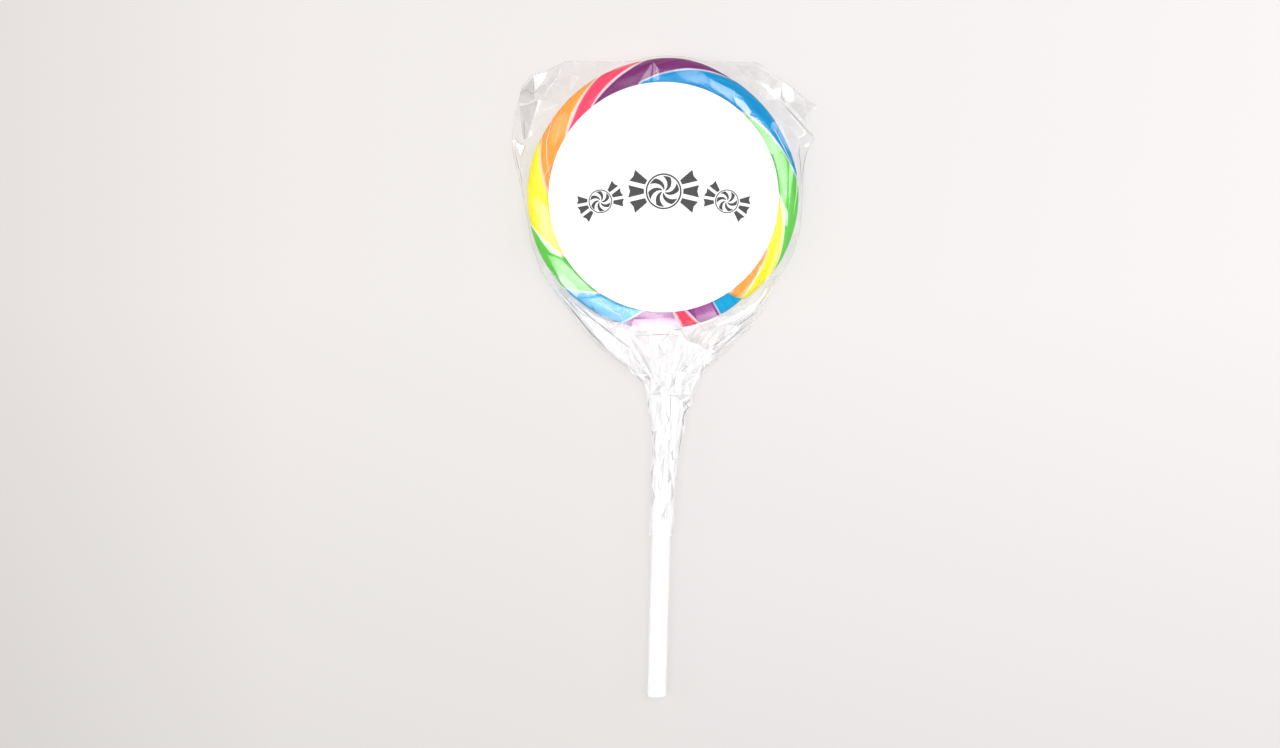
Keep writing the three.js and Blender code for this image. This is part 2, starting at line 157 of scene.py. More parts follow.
# Creased areas of the front film, as measured: what each does, and its corners (x, y). A "glare" area
# is flat and throws a softbox back, with a little painted highlight as well, "milky" and "creased" film is
# white with fine creases, "grey" and "deep" film is doubled, and a "faint" or "bright" area or a veil lies
# over the candy as
# painted reflection: a white haze for the softboxes' glare, with painted highlight in the "bright" ones
# too.
PATCHES = [
    ("deep", [(-36.7, 32.4), (-38.2, 30.7), (-39.6, 29.3), (-40.2, 27.6), (-40.4, 25.6), (-38.2, 25.2),
        (-36, 26.6), (-36.3, 29.3)]),
    ("deep", [(-40.2, 24.6), (-39.9, 20), (-39.1, 14.8), (-38.1, 15.4), (-37.4, 18), (-36.4, 21.2),
        (-35.4, 24.6), (-35.2, 26), (-38.2, 24.9)]),
    ("grey", [(-36, 28.4), (-34.6, 29.7), (-32.9, 30.6), (-31.6, 32.2), (-30.7, 34.4), (-29.2, 35.2),
        (-29.4, 33.2), (-29.8, 31.4), (-31.2, 29.7), (-32.2, 28.3), (-34.6, 27.7)]),
    ("glare", [(-36.3, 33), (-34.2, 33.7), (-32.4, 34), (-32.8, 33.1), (-33.4, 31.7), (-34.7, 30.3),
        (-35.6, 29.2), (-36, 30.4)]),
    ("glare", [(-41.2, 14.2), (-38.9, 13.3), (-40, 10.5)]),
    ("glare", [(-34.9, 26.3), (-34.1, 25.8), (-35, 23.4), (-35.9, 21.4)]),
    ("glare", [(-42, 15.2), (-41.4, 14.9), (-41.6, 14.4), (-42.1, 14.3)]),
    ("glare", [(-37.3, 17.6), (-36.6, 17.1), (-36.9, 15.9), (-37.6, 16.3)]),
    ("grey", [(20.5, 36), (25.4, 35.8), (29.6, 33.9), (32.4, 31.9), (31.6, 30.9), (30.7, 29.2),
        (28.6, 31.4), (25.6, 31.8), (22, 33.4)]),
    ("glare", [(25.6, 35.1), (26.6, 34.8), (30.5, 31.7), (26.1, 34.3)]),
    ("glare", [(27.5, 30.8), (29.2, 30.2), (30.7, 28.8), (32.8, 29.8), (32.7, 27.2), (31.2, 26.5),
        (29.4, 28.3)]),
    ("glare", [(33.6, 31.2), (36.3, 29.3), (39.7, 25.9), (38.8, 25.3), (36.6, 25.9), (34.9, 25.7),
        (34, 26.5), (33.4, 28.4)]),
    ("grey", [(34, 31.5), (36.8, 29.5), (40.4, 25.9), (42.2, 24.5), (41.3, 23.3), (40.5, 22.9), (40, 23.4),
        (40.1, 25.2), (36.6, 29.1)]),
    ("grey", [(34.4, 25.3), (36.6, 25.5), (38.9, 24.9), (39.6, 24), (39.9, 22.4), (39.2, 21.2), (38.7, 21),
        (35.3, 24.4)]),
    ("grey", [(33.4, 24.8), (35, 23.7), (40, 18.5), (41.4, 16.2), (41, 16.1), (39.3, 18.3), (35.4, 22.3)]),
    ("glare", [(34.7, 24.4), (35.1, 24.3), (39.3, 20.1), (39, 19.9)]),
    ("glare", [(35.3, 22.1), (35.7, 21.9), (39.9, 17.2), (39.6, 17)]),
    ("glare", [(40, 16.5), (38.6, 15.6), (37, 14.3), (37, 11.2), (36.5, 13.4), (37.6, 15.3), (39.3, 16.8)]),
    ("glare", [(40.9, 14.3), (40.3, 12.9), (39, 13), (39.8, 13.8)]),
    ("milky", [(-25.6, -30.6), (-20, -35.2), (-14, -39.8), (-9.6, -43.4), (-9.4, -48.4), (-12.2, -46.6),
        (-15.4, -43.8), (-19.2, -39.4), (-22.6, -35.2)]),
    ("milky", [(-13.2, -37.8), (-9.2, -38.8), (-9.5, -42.8), (-13.4, -39.8)]),
    ("milky", [(9, -50.4), (7.6, -56.4), (-3.8, -56.4), (-5.2, -53.2), (-8.4, -50.2), (-3, -50.8),
        (4, -49.8)]),
    ("creased", [(-9.2, -38.2), (-4, -38.4), (2, -38.1), (4.8, -38.6), (6.4, -41.2), (10.2, -42.6),
        (12, -44.4), (11.2, -47), (10.2, -50.6), (9, -50.4), (4, -49.8), (-3, -50.8), (-8.4, -50.2),
        (-9.3, -47.5), (-9.4, -43)]),
    ("milky", [(29.4, -25.8), (26.4, -29.8), (22.6, -32.6), (15.4, -36.2), (14.8, -37.2), (20.2, -35.6),
        (25.2, -32.6), (28.6, -28.2)]),
    ("milky", [(22.4, -36.2), (20.2, -37.2), (16.8, -40.4), (14.8, -42.6), (17.2, -41.6), (20, -39.4)]),
    ("grey", [(32.2, -22.8), (30.2, -26.2), (28.6, -29.8), (27.6, -31.8), (26.6, -31.4), (28.8, -27.2),
        (31, -22.9)]),
    ("grey", [(-26.2, -31.2), (-22.8, -35.8), (-19.4, -39.9), (-16, -43.7), (-17.4, -42.8), (-21.4, -38.4),
        (-24.8, -33.6)]),
    ("painted_veil", [(12.6, -41), (15.4, -38.8), (14.2, -42), (12.9, -46), (11.2, -49.5), (11.4, -47),
        (12.4, -44)]),
    ("creased", [(-25.6, -29), (-22.4, -31.8), (-19.2, -34.2), (-16, -35.6), (-13.4, -37.4), (-15.8, -37.8),
        (-19.6, -35.2), (-23.4, -32.2)]),
    ("faint", [(2.9, 34.4), (7.5, 34.8), (10.6, 33.6), (12.2, 32.3), (12.6, 30.4), (9.6, 30.2), (6.4, 30.9),
        (4.6, 32.3)]),
    ("painted_veil", [(12.6, 32), (14.4, 31), (19.6, 28.4), (22.4, 26.2), (18.8, 27), (19.6, 25), (16.8, 27.2),
        (13.2, 29.4)]),
    ("bright", [(19.2, 27), (22.4, 25.6), (24.6, 22.4), (23.8, 21.4), (20.4, 24.6)]),
    ("painted_veil", [(23.2, 21.8), (26.2, 20.8), (30.6, 15.8), (33.4, 11.4), (30.2, 10.6), (28.2, 13.4),
        (25.4, 18)]),
    ("painted_veil", [(30.2, 19.6), (31.6, 20), (33.8, 16.4), (35.8, 11.8), (34.6, 12.2), (31.6, 16.2),
        (29.8, 18)]),
    ("painted_veil", [(30.6, 10.8), (33.6, 11), (34.5, 8), (34.5, 2), (34.2, -3), (33.5, -3.4), (32.3, 0.5),
        (32.1, 5)]),
    ("painted_veil", [(35, 8.6), (36.4, 6.6), (35.9, 3), (35.3, -1), (35.1, -5), (34.8, -1), (34.9, 4)]),
    ("bright", [(32.6, -0.9), (34, -4), (34.8, -5.5), (34.5, -9.5), (33.3, -9), (33.6, -5.5)]),
    ("painted_veil", [(33.2, -9.4), (33.9, -10), (33, -13.4), (31.4, -18.8), (29.8, -23), (28.2, -25.2),
        (28.8, -23), (30.2, -19), (31.3, -15), (32.7, -12)]),
    ("painted_veil", [(27, -19.2), (27.2, -21.6), (24.4, -26.2), (21.6, -28.8), (20.6, -29), (22.6, -27),
        (26, -23)]),
    ("faint", [(8.4, -32), (13.2, -30.4), (14.2, -32.6), (9, -34.4)]),
    ("painted_veil", [(9, -34.4), (14.2, -32.6), (15.4, -34.8), (13.4, -35.8), (10.2, -36.7)]),
    ("painted_veil", [(-7.4, -32.3), (2.2, -33), (3, -34.3), (3.5, -35.2), (-1.4, -34.9), (-8.8, -35)]),
    ("painted_veil", [(-8.8, -35), (-12, -35.9), (-10.9, -37.2), (-9.3, -38), (-8.6, -36)]),
    ("bright", [(-8.4, -35.2), (-1.4, -34.9), (3.5, -35.2), (5.2, -37.5), (2, -38.1), (-4, -38.4),
        (-9.2, -38.2)]),
    ("painted_veil", [(-24, -29.4), (-20.2, -29.2), (-17.6, -28.9), (-12.2, -31.6), (-6.2, -33), (-8.8, -35),
        (-12, -35.9), (-16.2, -34.9), (-20.2, -32)]),
    ("bright", [(-29.4, -22.4), (-28, -22.8), (-25.6, -25.2), (-23.2, -27.7), (-24.2, -28.8), (-27, -26.6),
        (-28.8, -24.4)]),
    ("painted_veil", [(-32.4, -17.2), (-28.4, -18.6), (-25.4, -21.6), (-21.4, -25.6), (-18.4, -28.3), (-20, -28.9),
        (-24.2, -29.3), (-28.4, -25.4), (-30.4, -21.2)]),
    ("bright", [(-35.6, -10.4), (-34.4, -12), (-31.4, -15.4), (-28.4, -17.4), (-28.2, -18.2),
        (-31.6, -16.6), (-34.2, -13.2)]),
    ("painted_veil", [(-35.2, -0.6), (-34, -2.6), (-32.2, -4.4), (-31.4, -8), (-30.2, -12), (-28.6, -16.6),
        (-31.4, -14.8), (-34.4, -11.4), (-35, -6), (-36.4, -3.2)]),
    ("faint", [(-35.8, 8), (-34.6, 9.4), (-34, 3), (-34.4, -1.6), (-35, 2)]),
    ("faint", [(-27.6, 22.8), (-26.6, 22.4), (-27, 19), (-28.4, 15.8), (-30.8, 12.6), (-31.4, 16),
        (-30.4, 20.2)]),
    ("painted_veil", [(-6.7, 31), (-4.5, 34.2), (-3.1, 36.3), (-3.2, 34), (-3.9, 31.1)]),
    ("painted_veil", [(-2.9, 36.2), (-1.6, 34.5), (-1.1, 31.3), (-3, 31.2), (-2.9, 34)]),
]
# Tight folds of the front film that show as fine lines, dark ones as painted shade and light ones as
# painted highlight: dark or light, half width, points (x, y)
FOLDS = [
    ("dark", 0.13, [(-28.4, -28), (-25.2, -31.4), (-23, -33.6), (-20.8, -34.8)]),
    ("dark", 0.11, [(-25.3, -30.2), (-20, -34.9), (-17.8, -36.6), (-13.6, -40), (-10.2, -42.9)]),
    ("dark", 0.16, [(-28.6, -29), (-25.2, -33), (-22.4, -36.4), (-20, -39.2), (-16.2, -43)]),
    ("dark", 0.1, [(-12.4, -45.6), (-9.8, -47.9)]),
    ("dark", 0.14, [(26.2, -33.2), (22.2, -35.8), (19, -38.9), (15.2, -41.8), (12.2, -43.4)]),
    ("dark", 0.1, [(24.2, -36), (20.2, -39.4), (15.6, -43.8), (13, -45.6)]),
    ("dark", 0.08, [(-8.2, -39.9), (-3, -39.6), (1.5, -39.4), (6.6, -40.2)]),
    ("dark", 0.1, [(-39.9, 9.8), (-38.9, 12.3), (-38.3, 13.4)]),
    ("dark", 0.1, [(-41.4, 15.6), (-40.8, 14.5), (-39.8, 13.6), (-38.7, 14.6)]),
    ("dark", 0.12, [(33, 28.8), (33, 27.2), (33.7, 25.9), (34.5, 25.3)]),
    ("dark", 0.1, [(-41.6, 13.2), (-40.9, 9.2), (-39.9, 5.4), (-39.3, 2.2)]),
    ("dark", 0.1, [(38.1, 13.6), (37.9, 11), (38.4, 8), (38.6, 2.6)]),
    ("dark", 0.08, [(40.2, 12.2), (39.4, 8.6), (39.2, 7), (38.9, 3.6)]),
    ("dark", 0.1, [(-36.5, 32.6), (-36.3, 30), (-36.2, 28.2)]),
    ("dark", 0.09, [(-40, 28.2), (-38.2, 29.2), (-37, 28), (-36, 28.2), (-34.6, 29.6)]),
    ("dark", 0.09, [(-39, 22.2), (-38.9, 18.6), (-38.8, 15.4)]),
    ("dark", 0.2, [(7.6, -57.6), (6.2, -58.7), (7, -59.8), (6, -61.2), (5.4, -62.8), (5.6, -65)]),
    ("dark", 0.14, [(5.2, -66), (4.9, -69), (4.3, -72.6)]),
    ("dark", 0.12, [(-1.9, -66.4), (-1.6, -68.6)]),
    ("dark", 0.22, [(-2.4, -69.8), (-2.3, -72.6), (-2.1, -75.6)]),
    ("dark", 0.1, [(0.5, -60.8), (1.3, -62.6), (1.5, -64.2)]),
    ("light", 0.13, [(-28.4, 35.4), (-29.4, 32.6), (-30.7, 30.9), (-32.3, 29), (-33.4, 27)]),
    ("light", 0.1, [(-41.3, 12.6), (-40.6, 9), (-39.7, 5.2)]),
    ("light", 0.12, [(31.8, -24.8), (27.8, -30.6), (22, -35), (18, -37.4)]),
    ("light", 0.12, [(27, -34.6), (22.4, -38.4), (17, -42.6), (13.2, -45.2)]),
    ("light", 0.1, [(19.8, -35.8), (16, -39), (12.6, -41.4)]),
    ("light", 0.1, [(-30.4, -26.2), (-27, -30.2), (-24, -33.8), (-21.4, -37.2)]),
    ("light", 0.1, [(41.2, 17.6), (38.2, 21.4), (36.4, 23.4)]),
    ("dark", 0.09, [(32.9, 25.6), (35.4, 22.9), (38.6, 19.4), (41.8, 15.9)]),
    ("light", 0.12, [(33.4, 26.2), (36, 23.4), (39.4, 19.8), (42.2, 16.6)]),
    ("light", 0.1, [(22.2, 34.6), (24.4, 33), (27, 30.2)]),
    ("light", 0.1, [(36.6, 10.6), (37.3, 6), (37.2, 0.4), (36.2, -6)]),
    ("light", 0.08, [(38.6, 2), (38, -4.6), (37.2, -10.4)]),
    ("light", 0.05, [(-2.9, 36.3), (-1.5, 34.5), (-1, 31.4)]),
    ("light", 0.1, [(-19.6, -28.2), (-17, -30.5), (-14.4, -33), (-12, -34), (-11.6, -35.4)]),
    ("light", 0.08, [(-10.9, -31.6), (-11, -33), (-11.4, -34)]),
    ("dark", 0.12, [(-20.2, -30.6), (-19.6, -32.2), (-18.6, -33.8)]),
    ("dark", 0.12, [(-12, -34.4), (-11.9, -36.2)]),
    ("light", 0.09, [(-30.9, 20.6), (-32.6, 14), (-32.4, 8.6), (-31.6, 4.6)]),
    ("light", 0.08, [(-31.2, 8), (-33, 4.8), (-34, 1)]),
    ("dark", 0.1, [(32, 19), (31.8, 16.8), (32.6, 15.4)]),
    ("light", 0.1, [(30.8, 17.8), (33.2, 13.4), (35.8, 8.2)]),
]
# How white, how grey, how glossy and how much painted glare (a white haze painted over the candy) each kind
# of film has: least and most, drawn for each facet
FACET_KINDS = {
    "ear": ((0, 0.03), (0, 0.04), (0.05, 0.4), (0, 0)),
    "ring": ((0, 0), (0, 0), (0.02, 0.25), (0, 0)),
    "cone": ((0, 0.45), (0, 0.05), (0.2, 1), (0, 0)),
    "neck": ((0.8, 1), (0, 0.03), (0.6, 1.2), (0, 0)),
    # a glare facet mirrors a softbox and also holds a little painted highlight
    "glare": ((0.05, 0.2), (0, 0), (0.9, 1.2), (0, 0)),
    # painted reflection over the candy: a white haze for the softboxes' glare, and painted highlight in the
    # bright kind too
    "faint": ((0, 0), (0, 0), (0.3, 0.8), (0.06, 0.13)),
    "painted_veil": ((0, 0.03), (0, 0), (0.3, 0.8), (0.2, 0.32)),
    "bright": ((0.22, 0.36), (0, 0), (0.3, 0.8), (0.38, 0.48)),
    "milky": ((0.65, 0.97), (0, 0.03), (0.5, 1.2), (0, 0)),
    "creased": ((0.3, 0.85), (0, 0.05), (0.4, 1.2), (0, 0)),
    "grey": ((0, 0.02), (0.05, 0.12), (0.1, 0.4), (0, 0)),
    "deep": ((0, 0.02), (0.13, 0.24), (0.1, 0.4), (0, 0)),
    # the fine lines: painted shade along the dark folds and the bag's edge, painted highlight along the
    # light folds
    "dark": ((0, 0), (0.25, 0.3), (0.3, 0.3), (0, 0)),
    "light": ((0.75, 0.85), (0, 0), (1, 1), (0, 0)),
    "hem": ((0, 0), (0.1, 0.1), (0.5, 0.5), (0, 0)),
}
FILM_LAYERS = (("Facet", (0, 1)), ("Gloss", (2, 3)))
FILM_GLOSS = 0.04  # share of light that one sheet of film throws back when seen square on
FILM_EDGE_GLOSS = 0.55  # and when seen edge on
FILM_CLEAR = 0.995  # share of light that one sheet lets through
FILM_TINT = (1, 0.975, 0.965, 1)  # of its gloss
FILM_WHITE = (0.975, 0.97, 0.975, 1)  # of film with fine creases

# ---- label ----
LABEL_RADIUS = 32.05
LABEL_CENTRE = (0.05, -1.25)
LABEL_Z = 10.15
LABEL_THICK = 0.12
# share of the radius, share of the thickness
LABEL_PROFILE = [(0.4, 0), (1, 0), (1, 0.5), (1, 0.85), (0.9985, 1), (0.4, 1)]
LABEL_SIDES = 256
PRINT_THICK = 0.03
# printed sweets: place on the label, size and lean
SWEETS = [(0, 1.6, 1.0, 0), (-17.6, -1.2, 0.66, 24), (17.6, -1.2, 0.66, -24)]
SWEET_RINGS = (5.0, 4.55)  # outer and inner radius of a sweet's outline
SWEET_BLADES = 6
BLADE_REACH = 4.3
SWEET_TWIST = 1.1  # radians, from the middle to the edge of a sweet
PLEAT_LEANS = (-27, 0, 27)
PLEAT_CORNERS = [(5.5, -0.7), (10, -1), (9.4, 0), (10, 1), (5.5, 0.7)]  # [reach, share of half width]
PLEAT_HALF = 10

# ---- picture ----
FLOOR_HALF = 1500
# painted light across the floor: its warm tint grows lighter to the right. [place from left to right,
# colour]
FLOOR_PAINTED_LIGHT = [(0.0, "#e5e0dd"), (0.22, "#f2edea"), (0.62, "#f6f2f1"), (1.0, "#fbf7f6")]
FLOOR_LEVEL = 0.24
FLOOR_GLOW = 0.677  # light that comes up through the floor, as on a light table
# lights: degrees round from +X, degrees off overhead, and radiance
SOFTBOXES = {
    "upper_right": (35, 17, 6.5),
    "lower_left": (213, 17, 6.5),
    "right_side": (0, 52, 3.2),
    "left_side": (180, 52, 3.2),
}
SOFTBOX_AIM = (0, -20, 0)
SOFTBOX_DISTANCE = 1300
SOFTBOX_SIZE = 600
WORLD_COLOUR = (0.99, 0.985, 0.98, 1)
WORLD_LIGHT = 0.15  # overhead
HORIZON_LIGHT = 1.1
HORIZON_TOP = 0.45  # sine of the elevation at which the horizon's glow has faded
MM_PER_PIXEL = 0.28
CANDY_PIXEL = (663.3, 193.7)  # the candy's middle in the 1280 x 748 picture
PICTURE = (1280, 748)
LENS = 85
SENSOR = 36


# ---- helpers ----
def smooth(x, start, length):
    """0 up to start and 1 from start + length on, with a soft rise between."""
    t = np.clip((np.asarray(x, float) - start) / length, 0, 1)
    return t * t * (3 - 2 * t)


def polar(r, turn):
    return r * math.cos(turn), r * math.sin(turn)


def turns_of(count):
    """Evenly spaced angles once round, in radians."""
    return np.linspace(0, 2 * math.pi, count + 1)[:-1]


def linear(hex_colour):
    """A screen colour as the linear RGBA that shaders take."""
    parts = [int(hex_colour[i : i + 2], 16) / 255 for i in (1, 3, 5)]
    return tuple(p / 12.92 if p < 0.04045 else ((p + 0.055) / 1.055) ** 2.4 for p in parts) + (1,)


def camera_place():
    width = PICTURE[0] * MM_PER_PIXEL
    x = (PICTURE[0] / 2 - CANDY_PIXEL[0]) * MM_PER_PIXEL
    y = (CANDY_PIXEL[1] - PICTURE[1] / 2) * MM_PER_PIXEL
    return Vector((x, y, width * LENS / SENSOR + MIDDLE_Z))


def softbox_direction(name):
    turn, lean = (math.radians(a) for a in SOFTBOXES[name][:2])
    return Vector((*polar(math.sin(lean), turn), math.cos(lean)))


def linked(name, data):
    """An object in the scene that shows a mesh, light or camera."""
    made = bpy.data.objects.new(name, data)
    bpy.context.scene.collection.objects.link(made)
    return made


# ---- meshes ----
def mesh_object(name, points, faces, corners=None, layers=()):
    """A smooth object. Each layer keeps two columns of the corner values."""
    mesh = bpy.data.meshes.new(name)
    mesh.from_pydata((np.asarray(points, float) * MM).tolist(), [], [list(map(int, f)) for f in faces])
    for layer, columns in layers:
        values = np.asarray(corners, np.float32)[:, columns]
        mesh.uv_layers.new(name=layer).data.foreach_set("uv", values.ravel())
    mesh.polygons.foreach_set("use_smooth", [True] * len(mesh.polygons))
    mesh.update()
    return linked(name, mesh)


def crisp_above(mesh, angle):
    mesh.set_sharp_from_angle(angle=math.radians(angle))


def tube(rings, values=None):
    """Points, faces and corner values of a closed skin through rings, with a fan at each end. A ring
    has one value for each point and one for the first again."""
    count, size = len(rings), len(rings[0])
    values = values or [[0] * (size + 1)] * count
    points = [p for ring in rings for p in ring]
    faces, corners = [], []
    for i in range(count - 1):
        a, b = i * size, (i + 1) * size
        for j in range(size):
            k = (j + 1) % size
            faces.append((a + j, b + j, b + k, a + k))
            corners += [values[i][j], values[i + 1][j], values[i + 1][j + 1], values[i][j + 1]]
    for i, way in ((0, 1), (count - 1, -1)):
        middle = len(points)
        points.append(np.mean(rings[i], axis=0))
        for j in range(size):
            pair = (j, j + 1)[::way]
            faces.append((middle, *(i * size + k % size for k in pair)))
            corners += [values[i][k] for k in (j, *pair)]
    return points, faces, corners


def band(a, b, count):
    """Faces between two closed loops of count points, which start at a and b."""
    steps = [(i, (i + 1) % count) for i in range(count)]
    return [(a + i, a + j, b + j, b + i) for i, j in steps]


# ---- candy ----
def widths_in(turn):
    """How many rope widths lie between the rim and the rope's inner edge."""
    tail = TAIL_WIDTH + (1 - TAIL_WIDTH) * smooth(turn, 0, TAIL_LENGTH)
    jogs = sum(smooth(turn, JOG_START + lap, JOG_LENGTH) for lap in (0, 360, 720))
    wound = (turn - TAIL_LENGTH) / 360
    return tail - ROPE_SPREAD / 3 + ROPE_SPREAD * wound + (1 - ROPE_SPREAD) * jogs


def rope_at(turn):
    """Angle in radians, radius, half width and half height of the rope."""
    share = smooth(turn, RIM_JOG_START, RIM_JOG_LENGTH)
    under = CANDY_RADIUS - ROPE_PITCH * widths_in(max(turn - 360, 0))
    fuse = ROPE_PITCH * ROPE_FUSE
    inner = CANDY_RADIUS - ROPE_PITCH * widths_in(turn) - fuse
    outer = CANDY_RADIUS + (under + fuse - CANDY_RADIUS) * share
    low = smooth(turn, *FLAT_IN) * (1 - smooth(turn, *FLAT_OUT))
    height = ROPE_HALF_HEIGHT * (1 - (1 - JOG_FLATTEN) * low)
    return math.radians(TAIL_ANGLE + turn), (outer + inner) / 2, (outer - inner) / 2, height


def stripe_count(turn, around):
    """The stripe count on the rope's surface; around is 0 at the rim, 90 at the crown, -90 below."""
    counts, crown, rim = np.array(STRIPE_EDGES).T
    angle = turn + TAIL_ANGLE
    twist = np.interp(angle, crown, counts) - np.interp(angle, rim, counts)
    share = np.atleast_1d(around) / 90
    on_top = np.clip(share, 0, 1)
    inward = 1 - np.cos(on_top * math.pi / 2) ** (2 / ROPE_ROUNDNESS)
    found = [np.interp(angle, rim + (crown - rim) * part, counts) for part in inward]
    return np.array(found) + twist * (share - on_top)


def rim_bulge(angle):
    """How far the candy's edge stands out of round at an angle on the disc."""
    angles, bulges = np.array(RIM_BULGES).T
    return np.interp((np.asarray(angle) - angles[0]) % 360 + angles[0], angles, bulges)


def section(turn, shrink, ahead, groove):
    """Points of one section of the rope, drawn in by groove at each of them."""
    angle, radius, half, height = rope_at(turn)
    radius = max(float(radius), 0.1)
    t = np.linspace(-math.pi, math.pi, SECTION_POINTS + 1)
    waves = (np.cos(t), np.sin(t))
    across, up = (np.sign(wave) * np.abs(wave) ** (2 / ROPE_ROUNDNESS) for wave in waves)
    r = np.maximum(radius + across * half * shrink * groove, 0.05)
    first_lap = 1 - smooth(turn, RIM_JOG_START, RIM_JOG_LENGTH)
    r = r + rim_bulge(math.degrees(angle)) * first_lap * (1 + across * shrink) / 2
    lean = TAIL_LEAN * across * shrink * (1 - float(smooth(turn, 0, TAIL_LEAN_LENGTH)))
    a = angle + (ahead + lean) / radius
    return np.stack([r * np.cos(a), r * np.sin(a), MIDDLE_Z + up * height * shrink * groove], axis=1)


def rope_ring(turn, shrink=1.0, ahead=0.0):
    """One section of the rope and, for each point and the first again, its stripe values: the stripe
    count, the length along the rope in cm, and how many stripes there are to the mm."""
    around = np.linspace(-180, 180, SECTION_POINTS + 1)
    plain = section(turn, shrink, ahead, 1.0)
    count = stripe_count(turn, around)
    step = 0.5
    change = stripe_count(turn + step, around) - stripe_count(turn - step, around)
    along = change / (2 * math.radians(step) * (np.hypot(plain[:, 0], plain[:, 1]) + 0.5))
    across = np.diff(count) / (np.linalg.norm(np.diff(plain, axis=0), axis=1) + 0.02)
    across = np.concatenate([across[:1], (across[:-1] + across[1:]) / 2, across[-1:]])
    density = np.maximum(np.hypot(along, across), 0.01)
    from_line = np.abs(count - np.round(count)) / density
    groove = 1 - LINE_GROOVE / ROPE_HALF_HEIGHT * np.exp(-((from_line / GROOVE_WIDTH) ** 2))
    ring = section(turn, shrink, ahead, groove)
    length = np.full_like(count, math.radians(turn) * max(float(rope_at(turn)[1]), 4) / 10)
    return ring[:-1], np.stack([count, length, density], axis=1)


def round_end(turn, way):
    """Sections that shrink as they run past the rope's last one."""
    steps = [math.sin(math.radians(d)) for d in END_STEPS]
    half = float(rope_at(turn)[2])
    return [rope_ring(turn, math.sqrt(1 - s * s), way * s * END_LENGTH * half) for s in steps]


def rope_turns(first, last):
    """Evenly spaced places along the rope between two turns."""
    length = math.radians(last - first) * max(float(rope_at(first)[1]), 4)
    return np.linspace(first, last, math.ceil(length / SECTION_SPACING) + 1)


def rope_pieces():
    """The rope as closed pieces, each running one section into the next."""
    starts = range(0, ROPE_TURN, SEGMENT_TURN)
    spans = [rope_turns(a, min(a + SEGMENT_TURN, ROPE_TURN)) for a in starts]
    pieces = []
    for i, span in enumerate(spans):
        last = i + 1 == len(spans)
        sections = [rope_ring(turn) for turn in span]
        if i == 0:
            sections = round_end(0, -1)[::-1] + sections
        sections += round_end(ROPE_TURN, 1) if last else [rope_ring(spans[i + 1][1])]
        pieces.append(mesh_object(f"rope_{i}", *tube(*zip(*sections)), CANDY_LAYERS))
    return pieces


def core_piece():
    """The small dome in the middle of the coil."""
    rings = []
    for level in np.radians(np.linspace(-80, 80, 13)):
        r, z = CORE_RADIUS * math.cos(level), CORE_HALF_HEIGHT * math.sin(level)
        rings.append([(*polar(r, t), MIDDLE_Z + z) for t in turns_of(CORE_SIDES)[::-1]])
    values = [[CORE_STRIPES] * (CORE_SIDES + 1)] * len(rings)
    return mesh_object("rope_core", *tube(rings, values), CANDY_LAYERS)


def joined(name, pieces):
    """One closed mesh from overlapping closed ones."""
    first, *rest = pieces
    others = bpy.data.collections.new(name + "_pieces")
    for piece in rest:
        others.objects.link(piece)
    union = first.modifiers.new("union", "BOOLEAN")
    union.operation, union.solver = "UNION", "MANIFOLD"
    union.operand_type, union.collection = "COLLECTION", others
    mesh = bpy.data.meshes.new_from_object(first.evaluated_get(bpy.context.evaluated_depsgraph_get()))
    for piece in pieces:
        bpy.data.objects.remove(piece)
    bpy.data.collections.remove(others)
    crisp_above(mesh, CANDY_CRISP)
    return linked(name, mesh)


# ---- stick ----
def stick_x(y):
    slope = (STICK_X_AT_END - STICK_X_AT_RIM) / (STICK_END_Y + CANDY_RADIUS)
    return STICK_X_AT_RIM + slope * (y + CANDY_RADIUS)


def stick_piece():
    """A round stick with softened ends."""
    top = -CANDY_RADIUS + STICK_IN_CANDY
    stations = [(STICK_END_Y + far, scale) for far, scale in STICK_EDGE]
    stations += [(y, 1) for y in np.linspace(STICK_END_Y + 1, top - 1, 60)]
    stations += [(top - far, scale) for far, scale in STICK_EDGE[::-1]]
    rings = []
    for y, scale in stations:
        sides = [polar(STICK_RADIUS * scale, t) for t in turns_of(64)[::-1]]
        rings.append([(stick_x(y) + across, y, MIDDLE_Z + up) for across, up in sides])
    made = mesh_object("stick_white", *tube(rings))
    crisp_above(made.data, STICK_CRISP)
    return made


# ---- film: the smooth bag ----
def bag_sides(y):
    """The bag's left and right edge at y."""
    return [np.interp(y, *np.array(edge)[::-1].T) for edge in (LEFT_EDGE, RIGHT_EDGE)]


@functools.cache
def bag_reach():
    """How far out the bag's edge lies for each degree round the candy's middle."""
    r = np.arange(CANDY_RADIUS, 60, 0.05)
    reach = []
    for degree in range(361):
        x, y = polar(r, math.radians(degree))
        left, right = bag_sides(y)
        within = (y <= BAG_TOP) & (y >= BAG_END) & (x >= left) & (x <= right)
        reach.append(r[-1] if within.all() else r[np.argmin(within)])
    return np.array(reach)


def envelope(r):
    """Half height of the candy with the film drawn over it, at a distance from its middle."""
    half = RIM_HALF + FILM_GAP
    out = np.clip((r - (FILM_RADIUS - half)) / half, 0, 1)
    height = ROPE_HALF_HEIGHT + FILM_GAP
    return height * (1 - out**ROPE_ROUNDNESS) ** (1 / ROPE_ROUNDNESS)


def tent_height(x, y):
    """Half height of film pulled straight from the candy's faces to the bag's edge."""
    degrees = np.degrees(np.arctan2(y, x)) % 360
    r = np.hypot(x, y)
    r = r - rim_bulge(degrees) * np.clip((r - 30) / 6, 0, 1)
    reach = np.maximum(np.interp(degrees, np.arange(361), bag_reach()), FILM_RADIUS)
    height = envelope(np.minimum(r, FILM_RADIUS))
    for start in np.arange(FILM_RADIUS - TENT_FOOT, FILM_RADIUS, TENT_STEP):
        rise = envelope(start) - EDGE_HALF
        line = EDGE_HALF + rise * np.maximum(reach - r, 0) / (reach - start)
        height = np.where(r > start, np.maximum(height, line), height)
    return np.maximum(height, EDGE_HALF)


